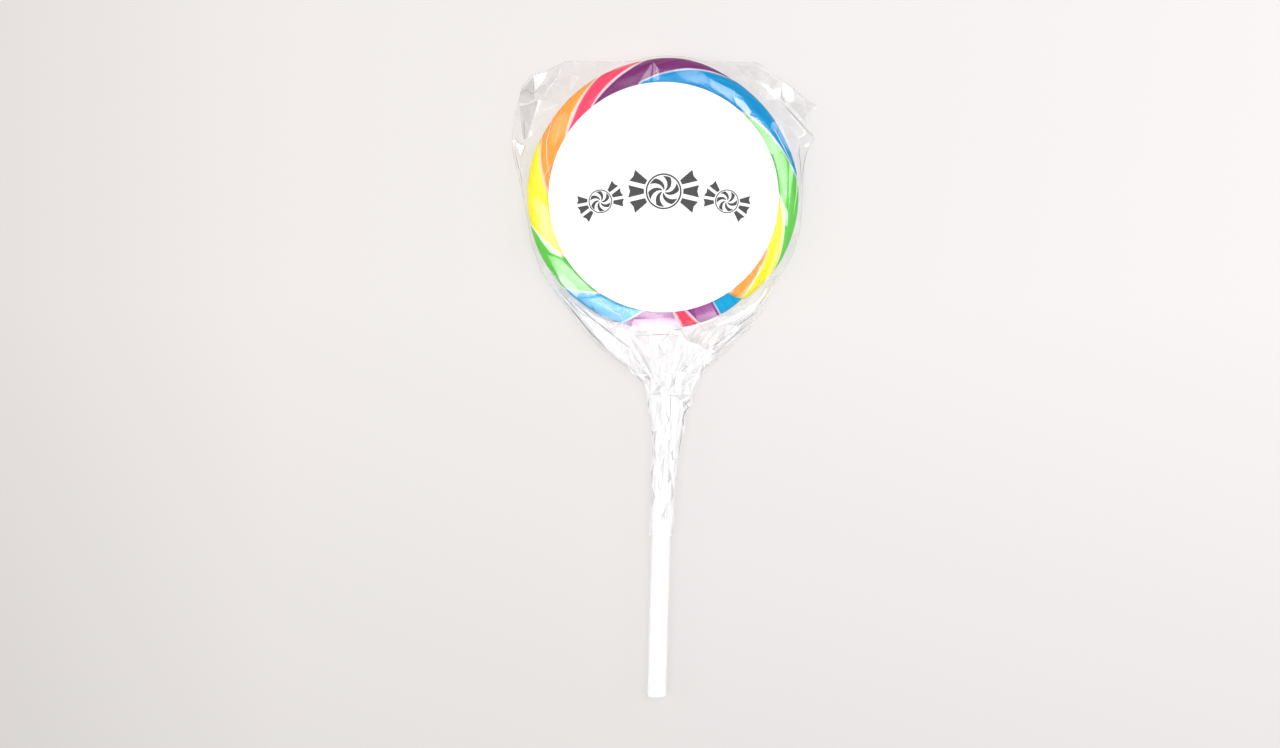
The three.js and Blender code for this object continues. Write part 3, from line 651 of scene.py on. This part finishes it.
def neck_height(x, y):
    """Half height of the film where it closes in on the stick."""
    axis = stick_x(y)
    edge = np.where(x < axis, *bag_sides(y))
    out = np.clip(np.abs((x - axis) / (edge - axis)), 0, 1)
    close = smooth(-y, -NECK_TOP, NECK_TOP - PINCH_Y)
    slim = smooth(-y, -PINCH_Y, PINCH_Y - BAG_END)
    full = MIDDLE_Z + (NECK_HALF_HEIGHT - MIDDLE_Z) * close
    full = full + (STICK_RADIUS + 0.35 - full) * slim
    power = 1.5 + 0.5 * close
    return np.where(y > NECK_TOP, 0, full * (1 - out**power) ** (1 / power))


def sleeve_height(x, y):
    """Half height of film drawn tight round the stick."""
    return np.sqrt(np.maximum((STICK_RADIUS + STICK_GAP) ** 2 - (x - stick_x(y)) ** 2, 0))


def film_height(x, y):
    """Half height of the smooth bag, before it creases."""
    half = np.maximum(tent_height(x, y), neck_height(x, y))
    return np.where(y < -CANDY_RADIUS, np.maximum(half, sleeve_height(x, y)), half)


def ear_wave(x, y):
    """How far the loose upper corners stand above or below the middle plane."""
    loose = smooth(np.hypot(x, y), CANDY_RADIUS + 1, 7) * smooth(y, 2, 12)
    return float(EAR_WAVE * loose * np.sin(np.arctan2(y, abs(x)) * 5 + (0.6 if x > 0 else 2.4)))


def bag_z(x, y, side, lift):
    """Height of the creased film, kept off the candy, the stick and the floor."""
    half = float(film_height(x, y))
    on_candy = math.hypot(x, y) < FILM_RADIUS
    near_stick = y < -CANDY_RADIUS and abs(x - stick_x(y)) < STICK_RADIUS + 0.6
    tight = on_candy or (near_stick and half < STICK_RADIUS + 0.8)
    lift = abs(lift) if tight else max(lift, -0.8 * half)
    z = MIDDLE_Z + ear_wave(x, y) + side * (half + lift)
    return min(max(z, FLOOR_GAP), 2 * MIDDLE_Z - FLOOR_GAP)


# ---- film: its creases ----
def spread(x, y):
    """Coordinates in which facets are as long as wide: the narrow neck is drawn wide and short."""
    low = float(smooth(-y, STRETCH_FROM, STRETCH_LENGTH))
    v = y if y > -STRETCH_FROM else -STRETCH_FROM + (y + STRETCH_FROM) * NECK_PRESS
    return x + (x - stick_x(y)) * (NECK_STRETCH - 1) * low, v


def unspread(u, v):
    y = v if v > -STRETCH_FROM else -STRETCH_FROM + (v + STRETCH_FROM) / NECK_PRESS
    stretch = (NECK_STRETCH - 1) * float(smooth(-y, STRETCH_FROM, STRETCH_LENGTH))
    return (u + stick_x(y) * stretch) / (1 + stretch), y


def outline_points():
    """The bag's edge as (x, y): up the left side, along the top and down the right side."""
    below = list(np.arange(BAG_END + 3, -60, 2.5))
    sides = []
    for i, edge in enumerate((LEFT_EDGE, RIGHT_EDGE)):
        heights = sorted(set([y for y, _ in edge] + below))
        sides.append([(bag_sides(y)[i], y) for y in heights])
    top = []
    for x in np.arange(LEFT_EDGE[0][1] + 2.5, RIGHT_EDGE[0][1] - 1, 2.7):
        out = FILM_RADIUS + 0.1 + float(rim_bulge(math.degrees(math.atan2(BAG_TOP, x))))
        top.append((x, max(BAG_TOP, math.sqrt(max(out**2 - x**2, 0)))))
    return sides[0] + top + sides[1][::-1]


def candy_loops(rng):
    """Closed creases round the candy, where the film bends over its edge, as lines of (x, y, lift)."""
    loops = []
    for radius, length in RING_LOOPS:
        count = round(2 * math.pi * radius / length)
        turns = (np.arange(count) + rng.uniform(-0.4, 0.4, count)) * 2 * math.pi / count
        radii = radius + rng.uniform(-0.5, 0.5, count)
        lifts = np.abs(rng.normal(0, 0.02 if radius < LABEL_RADIUS else 0.12, count))
        loop = [(*polar(r, t), z) for r, t, z in zip(radii, turns, lifts)]
        loops.append(loop + loop[:1])
    return loops


def cone_pleats(rng):
    """Straight folds that fan out from where the bag is gathered, ridge and valley in turn."""
    pleats = []
    for i, lean in enumerate(np.linspace(-52, 50, CONE_PLEATS)):
        turn = math.radians(lean + rng.uniform(-2.5, 2.5))
        line = []
        for far in CONE_STEPS:
            far += rng.uniform(-2, 2)
            x, y = stick_x(PINCH_Y) + far * math.sin(turn), PINCH_Y + 3 + far * math.cos(turn)
            left, right = bag_sides(y)
            if not left + 0.5 < x < right - 0.5 or math.hypot(x, y) < CANDY_RADIUS + 1:
                break
            line.append((x, y, (0.55 if i % 2 else -0.45) * rng.uniform(0.5, 1.3)))
        pleats.append(line)
    return pleats


def neck_pleats(rng):
    """Folds that run down the stick below the gather."""
    pleats = []
    for i, share in enumerate(np.linspace(-0.82, 0.82, NECK_PLEATS)):
        line = []
        y = PINCH_Y + rng.uniform(-2, 5)
        while y > BAG_END + 2:
            axis, edge = stick_x(y), bag_sides(y)[0 if share < 0 else 1]
            x = axis + abs(share + rng.uniform(-0.07, 0.07)) * (edge - axis)
            line.append((x, y, (0.4 if i % 2 else -0.3) * rng.uniform(0.2, 1.4)))
            y -= rng.uniform(3, 8)
        pleats.append(line)
    return pleats


def inside(x, y, corners):
    """Whether a point lies inside a polygon."""
    found = False
    for (x0, y0), (x1, y1) in zip(corners, corners[1:] + corners[:1]):
        if (y0 > y) != (y1 > y) and x < x0 + (x1 - x0) * (y - y0) / (y1 - y0):
            found = not found
    return found


def facet_kind(x, y, side):
    """What the film does at a point: the patch it lies in, or else the part of the bag."""
    for kind, corners in PATCHES if side > 0 else []:
        if inside(x, y, corners):
            return kind
    if math.hypot(x, y) < FILM_RADIUS:
        return "ring"
    if y > EARS_DOWN_TO:
        return "ear"
    return "cone" if y > NECK_WHITE_FROM else "neck"


def facet_values(kind, rng):
    """How white, how grey, how glossy and how much painted glare one facet has."""
    values = [rng.uniform(*span) for span in FACET_KINDS[kind]]
    if kind in ("neck", "milky") and rng.uniform() < GREY_SHARE:
        values[0], values[1] = values[0] * 0.5, rng.uniform(0.04, 0.11)
    return values


def glare_plane(corners, middle_z):
    """Heights that tilt a patch so that it mirrors the nearer softbox into the camera."""
    cx, cy = np.mean(corners, axis=0)
    place = Vector((cx, cy, middle_z))
    to_camera = (camera_place() - place).normalized()
    name = "upper_right" if cx + cy > 0 else "lower_left"
    light = Vector(SOFTBOX_AIM) + softbox_direction(name) * SOFTBOX_DISTANCE
    normal = (to_camera + (light - place).normalized()).normalized()
    return [middle_z - (normal.x * (x - cx) + normal.y * (y - cy)) / normal.z for x, y in corners]


def patch_points():
    """For each patch, its corners with the film's own height, or that of the plane that glares."""
    loops = []
    for kind, corners in PATCHES:
        heights = [bag_z(x, y, 1, 0.05) for x, y in corners]
        if kind == "glare":
            heights = glare_plane(corners, float(np.mean(heights)))
        loops.append([(x, y, z) for (x, y), z in zip(corners, heights)])
    return loops


def scattered_points(rng, taken, side):
    """Corners of facets in the loose film round the candy, no nearer to each other than a random gap."""
    taken = [spread(x, y) for x, y, _ in taken]
    made = []
    for _ in range(FACET_TRIES):
        y = rng.uniform(BAG_END + 1.5, BAG_TOP - 1)
        left, right = bag_sides(y)
        x = rng.uniform(left + 0.5, right - 0.5)
        if math.hypot(x, y) < CANDY_RADIUS + 0.8 or facet_kind(x, y, side) == "glare":
            continue
        place = spread(x, y)
        if np.hypot(*(np.array(taken) - place).T).min() > rng.uniform(*FACET_SIZE):
            taken.append(place)
            made.append((x, y, rng.normal(0, 0.3 if y < PINCH_Y + 6 else 0.35)))
    return made


def chain(first, count, closed=False):
    """Edges between count points in a row, numbered from first."""
    return [(first + i, first + (i + 1) % count) for i in range(count if closed else count - 1)]


def film_creases(side, outline, rng):
    """The corners of one sheet's facets and the creases between them. Placed corners are (x, y, z), and
    lifted ones, numbered after them, are (x, y, lift off the smooth film)."""
    placed, edges = list(outline), chain(0, len(outline))
    for loop in patch_points() if side > 0 else []:
        edges += chain(len(placed), len(loop), True)
        placed += loop
    across = np.linspace(outline[-1][0], outline[0][0], HEM_POINTS)[1:-1]
    lifted = [(x, BAG_END + rng.uniform(-0.1, 1.2), 0) for x in across]
    hem = [len(outline) - 1, *range(len(placed), len(placed) + len(lifted)), 0]
    edges += zip(hem, hem[1:])
    for line in candy_loops(rng) + cone_pleats(rng) + neck_pleats(rng):
        closed = len(line) > 1 and line[0] == line[-1]
        own = line[:-1] if closed else line
        edges += chain(len(placed) + len(lifted), len(own), closed)
        lifted += own
    lifted += scattered_points(rng, placed + lifted, side)
    return placed, lifted, edges


def film_sheet(side, outline):
    """Points, triangles and facet values of the front (side 1) or back (side -1) of the bag."""
    rng = np.random.default_rng(21 + side)
    placed, lifted, edges = film_creases(side, outline, rng)
    flat = [Vector(spread(x, y)) for x, y, _ in placed + lifted]
    found, _, faces, origin, _, _ = delaunay_2d_cdt(flat, edges, [], 1, 1e-4)
    made = []
    for place, sources in zip(found, origin):
        if sources and min(sources) < len(placed):
            made.append(placed[min(sources)])
            continue
        x, y, lift = lifted[sources[0] - len(placed)] if sources else (*unspread(place.x, place.y), 0)
        made.append((x, y, bag_z(x, y, side, lift)))
    middles = [np.mean([made[i][:2] for i in face], axis=0) for face in faces]
    values = [facet_values(facet_kind(x, y, side), rng) for x, y in middles]
    faces = [tuple(face)[::side] for face in faces]
    return made, faces, soften(made, faces, values)


def soften(points, faces, values):
    """Facet values at every corner of every face. A facet with painted glare fades towards those round it.
    """
    total = np.zeros((len(points), len(values[0]) + 1))
    for face, value in zip(faces, values):
        total[list(face)] += (*value, 1)
    mean = total[:, :-1] / np.maximum(total[:, -1:], 1)
    found = []
    for face, value in zip(faces, values):
        share = PAINTED_GLARE_SOFT if value[3] > 0 else 0
        found += [share * mean[i] + (1 - share) * np.array(value) for i in face]
    return found


def inner_sheet(seed, side):
    """A crumpled layer of film inside the neck, where the bag's width is folded over itself."""
    rng = np.random.default_rng(seed)
    rows = np.linspace(INNER_TOP, BAG_END + 5, INNER_ROWS) + rng.uniform(-1, 1, INNER_ROWS)
    points = []
    for y in rows:
        left, right = bag_sides(y)
        for share in np.linspace(0.06, 0.94, INNER_COLUMNS):
            x = left + (right - left) * min(max(share + rng.uniform(-0.04, 0.04), 0.03), 0.97)
            sleeve = sleeve_height(x, y)
            inner = sleeve + max(film_height(x, y) - sleeve, 0) * rng.uniform(0.15, 0.9)
            points.append((x, y + rng.uniform(-1.2, 1.2), MIDDLE_Z + side * inner))
    faces, values = [], []
    for i in range(INNER_ROWS - 1):
        for j in range(INNER_COLUMNS - 1):
            a = i * INNER_COLUMNS + j
            b = a + INNER_COLUMNS
            faces += [(a, b, b + 1), (a, b + 1, a + 1)]
            values += [facet_values("neck", rng)] * 3 + [facet_values("neck", rng)] * 3
    return points, faces, values


def film_line(path, radius, kind):
    """A fine round fold along a line of points."""
    path = np.array(path, float)
    along = np.gradient(path, axis=0)
    along /= np.linalg.norm(along, axis=1)[:, None]
    up = np.array((0, 0, 1.0))
    rings = []
    for i, (place, side) in enumerate(zip(path, np.cross(along, up))):
        r = radius * (0.35 if i in (0, len(path) - 1) else 1)
        rings.append([place + r * (math.cos(t) * side + math.sin(t) * up) for t in turns_of(6)])
    points, faces, corners = tube(rings)
    return points, faces, [[low for low, _ in FACET_KINDS[kind]]] * len(corners)


def film_parts():
    """Points, faces and corner values of the sheets, the inner layers, the edge and the tight folds."""
    rng = np.random.default_rng(20)
    outline = []
    for x, y in outline_points():
        loose = 0.3 if math.hypot(x, y) > CANDY_RADIUS + 3 and y > PINCH_Y else 0
        outline.append((x, y, MIDDLE_Z + ear_wave(x, y) + rng.normal(0, 1) * loose))
    drawn_in = [(x - math.copysign(EDGE_BEAD, x), y, z) for x, y, z in outline]
    parts = [film_sheet(side, outline) for side in (1, -1)]
    parts += [inner_sheet(seed, side) for seed, side in INNER_SHEETS]
    parts.append(film_line(drawn_in, EDGE_BEAD, "hem"))
    for kind, radius, line in FOLDS:
        parts.append(film_line([(x, y, bag_z(x, y, 1, FOLD_RISE)) for x, y in line], radius, kind))
    return parts


def film_piece():
    """The whole bag: front and back joined along the top and both sides, open at the stick."""
    points, faces, values = [], [], []
    for part_points, part_faces, part_values in film_parts():
        faces += [[i + len(points) for i in face] for face in part_faces]
        points += part_points
        values += part_values
    made = mesh_object("film_clear", points, faces, values, FILM_LAYERS)
    mesh = bmesh.new()
    mesh.from_mesh(made.data)
    bmesh.ops.remove_doubles(mesh, verts=mesh.verts, dist=1e-7)
    mesh.to_mesh(made.data)
    mesh.free()
    crisp_above(made.data, FILM_CRISP)
    return made


# ---- label ----
def label_piece():
    """The paper disc, with softened edges."""
    cx, cy = LABEL_CENTRE
    rings = []
    for scale, up in LABEL_PROFILE:
        z = LABEL_Z + up * LABEL_THICK
        sides = [polar(LABEL_RADIUS * scale, t) for t in turns_of(LABEL_SIDES)]
        rings.append([(cx + x, cy + y, z) for x, y in sides])
    made = mesh_object("label_paper", *tube(rings))
    crisp_above(made.data, CANDY_CRISP)
    return made


def swirl_blade(start):
    """A curved blade of a round sweet, from its middle to its edge."""
    wide = math.pi / SWEET_BLADES
    lead = [(BLADE_REACH * t, start + SWEET_TWIST * t) for t in np.linspace(0.12, 1, 14)]
    shares = np.linspace(0, 1, 8)[1:-1]
    rim = [(BLADE_REACH, start + SWEET_TWIST + wide * share) for share in shares]
    trail = [(r, turn + wide) for r, turn in lead[::-1]]
    return [polar(r, turn) for r, turn in lead + rim + trail]


def wrapper_pleat(side, lean):
    """One pleat of the twisted end of a sweet's wrapper, which spreads from the knot."""
    middle, half = math.radians(lean), math.radians(PLEAT_HALF)
    corners = [polar(r, middle + half * share) for r, share in PLEAT_CORNERS]
    return [(side * x, y) for x, y in corners][::side]


def sweet_shapes():
    """The solid shapes of a printed sweet, as loops round its middle."""
    blades = [swirl_blade(2 * math.pi * i / SWEET_BLADES) for i in range(SWEET_BLADES)]
    return blades + [wrapper_pleat(side, lean) for side in (1, -1) for lean in PLEAT_LEANS]


def printed(loop, z, sweet):
    """A loop where one of the sweets on the label has it."""
    across, up, scale, lean = sweet
    cos, sin = polar(1, math.radians(lean))
    x0, y0 = LABEL_CENTRE[0] + across, LABEL_CENTRE[1] + up
    return [(x0 + scale * (x * cos - y * sin), y0 + scale * (x * sin + y * cos), z) for x, y in loop]


def print_piece():
    """Three wrapped sweets in a row, printed on the label, the middle one largest."""
    points, faces = [], []
    low, high = LABEL_Z + LABEL_THICK, LABEL_Z + LABEL_THICK + PRINT_THICK
    outer, inner = ([polar(r, t) for t in turns_of(96)] for r in SWEET_RINGS)
    for sweet in SWEETS:
        for shape in sweet_shapes():
            first, count = len(points), len(shape)
            points += printed(shape, low, sweet) + printed(shape, high, sweet)
            faces.append(range(first + count, first + 2 * count))
            faces.append(range(first + count - 1, first - 1, -1))
            faces += band(first, first + count, count)
        first, count = len(points), len(outer)
        for loop, z in ((outer, low), (outer, high), (inner, high), (inner, low)):
            points += printed(loop, z, sweet)
        for k in range(4):
            faces += band(first + k * count, first + (k + 1) % 4 * count, count)
    made = mesh_object("label_print", points, faces)
    made.data.shade_flat()
    return made


# ---- materials, whose lengths are in metres ----
class Nodes:
    """Short calls for the nodes of a new material or world. Each call returns what its node gives."""

    def __init__(self, owner):
        owner.use_nodes = True
        self.owner = owner
        self.tree = owner.node_tree

    def put(self, node, inputs):
        """Fills inputs: a socket is linked, and anything else is set."""
        for key, value in inputs.items():
            if isinstance(value, bpy.types.NodeSocket):
                self.tree.links.new(value, node.inputs[key])
            else:
                node.inputs[key].default_value = value
        return node.outputs

    def add(self, kind, inputs=None, **settings):
        made = self.tree.nodes.new("ShaderNode" + kind)
        for key, value in settings.items():
            setattr(made, key, value)
        return self.put(made, inputs or {})

    def surface(self, inputs):
        """Fills in the material's own shader."""
        self.put(self.tree.nodes["Principled BSDF"], inputs)
        return self.owner

    def place(self, scale=(1, 1, 1)):
        """Where a point is on the piece, stretched by scale."""
        return self.add("Mapping", {"Vector": self.add("TexCoord")["Object"], "Scale": scale})[0]

    def parts(self, vector):
        return self.add("SeparateXYZ", {0: vector})

    def layer(self, name):
        """The values that the piece's corners hold in a layer."""
        return self.parts(self.add("UVMap", uv_map=name)[0])

    def vector(self, *parts):
        return self.add("CombineXYZ", dict(enumerate(parts)))[0]

    def math(self, operation, *values):
        return self.add("Math", dict(enumerate(values)), operation=operation)[0]

    def through(self, value, whole):
        """How far a value is through its present run of whole, from 0 to 1."""
        return self.math("FRACT", self.math("DIVIDE", value, float(whole)))

    def noise(self, vector, scale, detail=3.0, roughness=0.5):
        inputs = {"Vector": vector, "Scale": scale, "Detail": detail, "Roughness": roughness}
        return self.add("TexNoise", inputs)["Fac"]

    def range(self, value, low, high, to_low=0.0, to_high=1.0):
        inputs = {"Value": value, "From Min": low, "From Max": high, "To Min": to_low, "To Max": to_high}
        return self.add("MapRange", inputs)[0]

    def mix(self, share, a, b, blend_type="MIX"):
        return self.add("Mix", {0: share, 6: a, 7: b}, data_type="RGBA", blend_type=blend_type)[2]

    def ramp(self, value, stops, interpolation="LINEAR"):
        """A colour for a value from 0 to 1, between stops of [value, colour]."""
        made = self.tree.nodes.new("ShaderNodeValToRGB")
        made.color_ramp.interpolation = interpolation
        elements = made.color_ramp.elements
        while len(elements) < len(stops):
            elements.new(1.0)
        for i, (position, colour) in enumerate(stops):
            elements[i].position = position
            elements[i].color = colour
        return self.put(made, {0: value})[0]

    def steps(self, value, colours):
        """One of the colours, in even steps of a value from 0 to 1."""
        return self.ramp(value, [(i / len(colours), c) for i, c in enumerate(colours)], "CONSTANT")

    def bump(self, height, strength, distance):
        return self.add("Bump", {"Height": height, "Strength": strength, "Distance": distance})[0]

    def blend(self, share, a, b):
        """One shader laid over another."""
        return self.add("MixShader", {0: share, 1: a, 2: b})[0]


def new_material(name):
    return Nodes(bpy.data.materials.new(name))


def candy_material():
    """Striped boiled sugar: six colours with thin white lines between, streaked along the stripes."""
    s = new_material("boiled_sugar")
    count, along, _ = s.layer("Stripes")
    density = s.layer("Density")[0]
    wander = s.range(s.noise(s.vector(0.0, along), 0.6), 0.0, 1.0, -0.04, 0.04)
    count = s.math("ADD", count, wander)
    streak_at = s.vector(s.math("MULTIPLY", count, 7.0), s.math("MULTIPLY", along, 0.5))
    streak = s.noise(streak_at, 1.6, 4.0)
    plain = s.steps(s.through(count, len(COLOURS)), [linear(colour) for colour in COLOURS])
    deep = s.add("HueSaturation", {"Saturation": 1.05, "Value": 0.85, "Color": plain})[0]
    streaked = s.mix(s.range(streak, 0.3, 0.68), deep, s.mix(0.04, plain, (1, 1, 1, 1)))
    line_number = s.math("ROUND", count)
    nearest = s.through(s.math("ADD", line_number, 0.5), len(LINE_WIDTHS))
    uneven = s.range(s.noise(s.vector(line_number, along, 3.0), 0.9), 0.3, 0.7, 0.2, 1.0)
    width = s.math("MULTIPLY", s.steps(nearest, [(w, w, w, 1) for w in LINE_WIDTHS]), uneven)
    from_line = s.math("DIVIDE", s.math("PINGPONG", count, 0.5), density)
    line = s.range(s.math("SUBTRACT", width, from_line), -0.3, 0.15, 0.0, 0.75)
    return s.surface({
        "Base Color": s.mix(line, s.mix(0.6, plain, streaked), linear(LINE_COLOUR)),
        "Roughness": s.range(streak, 0.3, 0.7, 0.2, 0.3),
        "Specular IOR Level": 0.1,
        "Subsurface Weight": 0.25,
        "Subsurface Radius": (0.8, 0.8, 0.8),
        "Subsurface Scale": 0.0015,
        "Coat Weight": 0.08,
        "Coat Roughness": 0.1,
        "Normal": s.bump(streak, 0.15, 0.0004),
    })


def stick_material():
    """White plastic with faint lines along it."""
    s = new_material("white_plastic")
    grain = s.noise(s.place((900, 25, 900)), 1.0)
    mottle = s.noise(s.place(), 120.0, 2.0)
    return s.surface({
        "Base Color": s.mix(mottle, linear("#f6f3f7"), linear("#fefdfe")),
        "Roughness": s.range(grain, 0.3, 0.7, 0.22, 0.34),
        "Subsurface Weight": 0.3,
        "Subsurface Scale": 0.002,
        "Normal": s.bump(grain, 0.15, 0.0002),
    })


def label_material():
    """Smooth white paper with a trace of fibre."""
    s = new_material("label_paper")
    fibre = s.noise(s.place(), 1400.0, 4.0, 0.6)
    return s.surface({
        "Base Color": s.mix(fibre, linear("#fbfbfb"), linear("#ffffff")),
        "Roughness": s.range(fibre, 0.3, 0.7, 0.5, 0.66),
        "Normal": s.bump(fibre, 0.1, 0.00005),
    })


def ink_material():
    """Charcoal ink, a little uneven."""
    s = new_material("charcoal_ink")
    speck = s.noise(s.place(), 2500.0)
    return s.surface({
        "Base Color": s.mix(speck, linear("#242223"), linear("#343031")),
        "Roughness": s.range(speck, 0.3, 0.7, 0.42, 0.6),
    })


def film_material():
    """Clear glossy film. Each facet holds how white, how grey, how glossy and how much painted glare it
    has.
    """
    s = new_material("clear_film")
    # whiteness holds the creased film's white and painted highlight; greyness holds doubled film and
    # painted shade
    whiteness, greyness, _ = s.layer("Facet")
    shine, painted_glare, _ = s.layer("Gloss")
    normal = s.bump(s.noise(s.place(), 300.0, 2.0), 0.05, 0.0003)
    facing = s.add("LayerWeight", {"Blend": 0.5, "Normal": normal})["Facing"]
    square_on = s.math("MULTIPLY", shine, FILM_GLOSS)
    mirror = s.range(s.math("POWER", facing, 5.0), 0.0, 1.0, square_on, FILM_EDGE_GLOSS)
    gloss = s.add("BsdfGlossy", {"Color": FILM_TINT, "Roughness": 0.09, "Normal": normal})[0]
    passed = s.math("SUBTRACT", FILM_CLEAR, greyness)
    clear = s.add("BsdfTransparent", {"Color": s.vector(passed, passed, passed)})[0]
    lit_through = s.add("BsdfTranslucent", {"Color": FILM_WHITE, "Normal": normal})[0]
    lit = s.add("BsdfDiffuse", {"Color": FILM_WHITE, "Normal": normal})[0]
    streak = s.range(s.noise(s.place((700, 160, 700)), 1.0), 0.3, 0.5, 0.75, 1.1)
    white = s.math("MULTIPLY", whiteness, streak)
    film = s.blend(white, s.blend(mirror, clear, gloss), s.blend(0.9, lit_through, lit))
    # painted reflection: a white diffuse added on top of the film, as strong as the facet's painted glare
    painted_glare_colour = s.vector(painted_glare, painted_glare, painted_glare)
    painted_glare_diffuse = s.add("BsdfDiffuse", {"Color": painted_glare_colour, "Normal": normal})[0]
    nodes = s.tree.nodes
    s.put(nodes["Material Output"], {"Surface": s.add("AddShader", {0: film, 1: painted_glare_diffuse})[0]})
    nodes.remove(nodes["Principled BSDF"])
    return s.owner


def floor_material():
    """Pale warm grey card, with painted light that makes it lighter to the right and painted shade that
    makes it darker at the foot of the picture.
    """
    s = new_material("pale_floor")
    across, up, _ = s.parts(s.place())
    stops = [(x, (*(FLOOR_LEVEL * c for c in linear(tint)[:3]), 1)) for x, tint in FLOOR_PAINTED_LIGHT]
    painted_light_tones = s.ramp(s.range(across, -0.19, 0.18), stops)
    mottle = s.math("MULTIPLY", s.noise(s.place(), 3.0, 2.0), 0.02)
    # painted shade: darker towards the foot of the picture, with a faint random mottle
    shade = s.math("ADD", s.range(up, -0.16, -0.03, 0.88, 1.0), mottle)
    colour = s.mix(1.0, painted_light_tones, s.vector(shade, shade, shade), "MULTIPLY")
    return s.surface({
        "Base Color": colour,
        "Emission Color": colour,
        "Emission Strength": FLOOR_GLOW / FLOOR_LEVEL,
        "Roughness": 0.9,
    })


def finish_piece(piece, node, material):
    piece.data.materials.clear()
    piece.data.materials.append(material)
    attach(piece, "root")
    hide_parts(node)


# ---- camera, lights, floor ----
def add_camera():
    data = bpy.data.cameras.new("camera")
    data.lens, data.sensor_width = LENS, SENSOR
    camera = linked("camera", data)
    camera.location = camera_place() * MM
    bpy.context.scene.camera = camera


def add_softbox(name):
    """A square light aimed at the candy."""
    data = bpy.data.lights.new(name, "AREA")
    data.shape, data.size = "SQUARE", SOFTBOX_SIZE * MM
    data.energy = SOFTBOXES[name][2] * math.pi * (SOFTBOX_SIZE * MM) ** 2
    light = linked(name, data)
    away = softbox_direction(name)
    light.location = (Vector(SOFTBOX_AIM) + away * SOFTBOX_DISTANCE) * MM
    light.rotation_euler = away.to_track_quat("Z", "Y").to_euler()


def add_floor():
    points = [(x * FLOOR_HALF, y * FLOOR_HALF, 0) for x, y in ((-1, -1), (1, -1), (1, 1), (-1, 1))]
    floor = mesh_object("floor", points, [(0, 1, 2, 3)])
    floor.data.materials.append(floor_material())


def add_world():
    """Even light from the sky, stronger towards the horizon."""
    sky = Nodes(bpy.data.worlds.new("studio"))
    height = sky.parts(sky.add("TexCoord")["Generated"])[2]
    strength = sky.range(height, 0.0, HORIZON_TOP, HORIZON_LIGHT, WORLD_LIGHT)
    sky.put(sky.tree.nodes["Background"], {"Color": WORLD_COLOUR, "Strength": strength})
    bpy.context.scene.world = sky.owner
    bpy.context.scene.view_settings.view_transform = "Standard"


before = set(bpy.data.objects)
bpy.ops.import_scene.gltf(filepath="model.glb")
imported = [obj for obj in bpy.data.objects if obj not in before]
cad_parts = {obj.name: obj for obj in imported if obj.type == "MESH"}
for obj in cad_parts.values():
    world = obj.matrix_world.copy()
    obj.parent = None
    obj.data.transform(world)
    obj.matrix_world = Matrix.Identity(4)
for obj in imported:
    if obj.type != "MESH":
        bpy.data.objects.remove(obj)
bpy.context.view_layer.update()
finish_piece(joined("candy_rope", rope_pieces() + [core_piece()]), "candy_swirl", candy_material())
finish_piece(stick_piece(), "stick", stick_material())
finish_piece(label_piece(), "label", label_material())
finish_piece(print_piece(), "label", ink_material())
finish_piece(film_piece(), "film_bag", film_material())
add_camera()
add_floor()
for softbox in SOFTBOXES:
    add_softbox(softbox)
add_world()
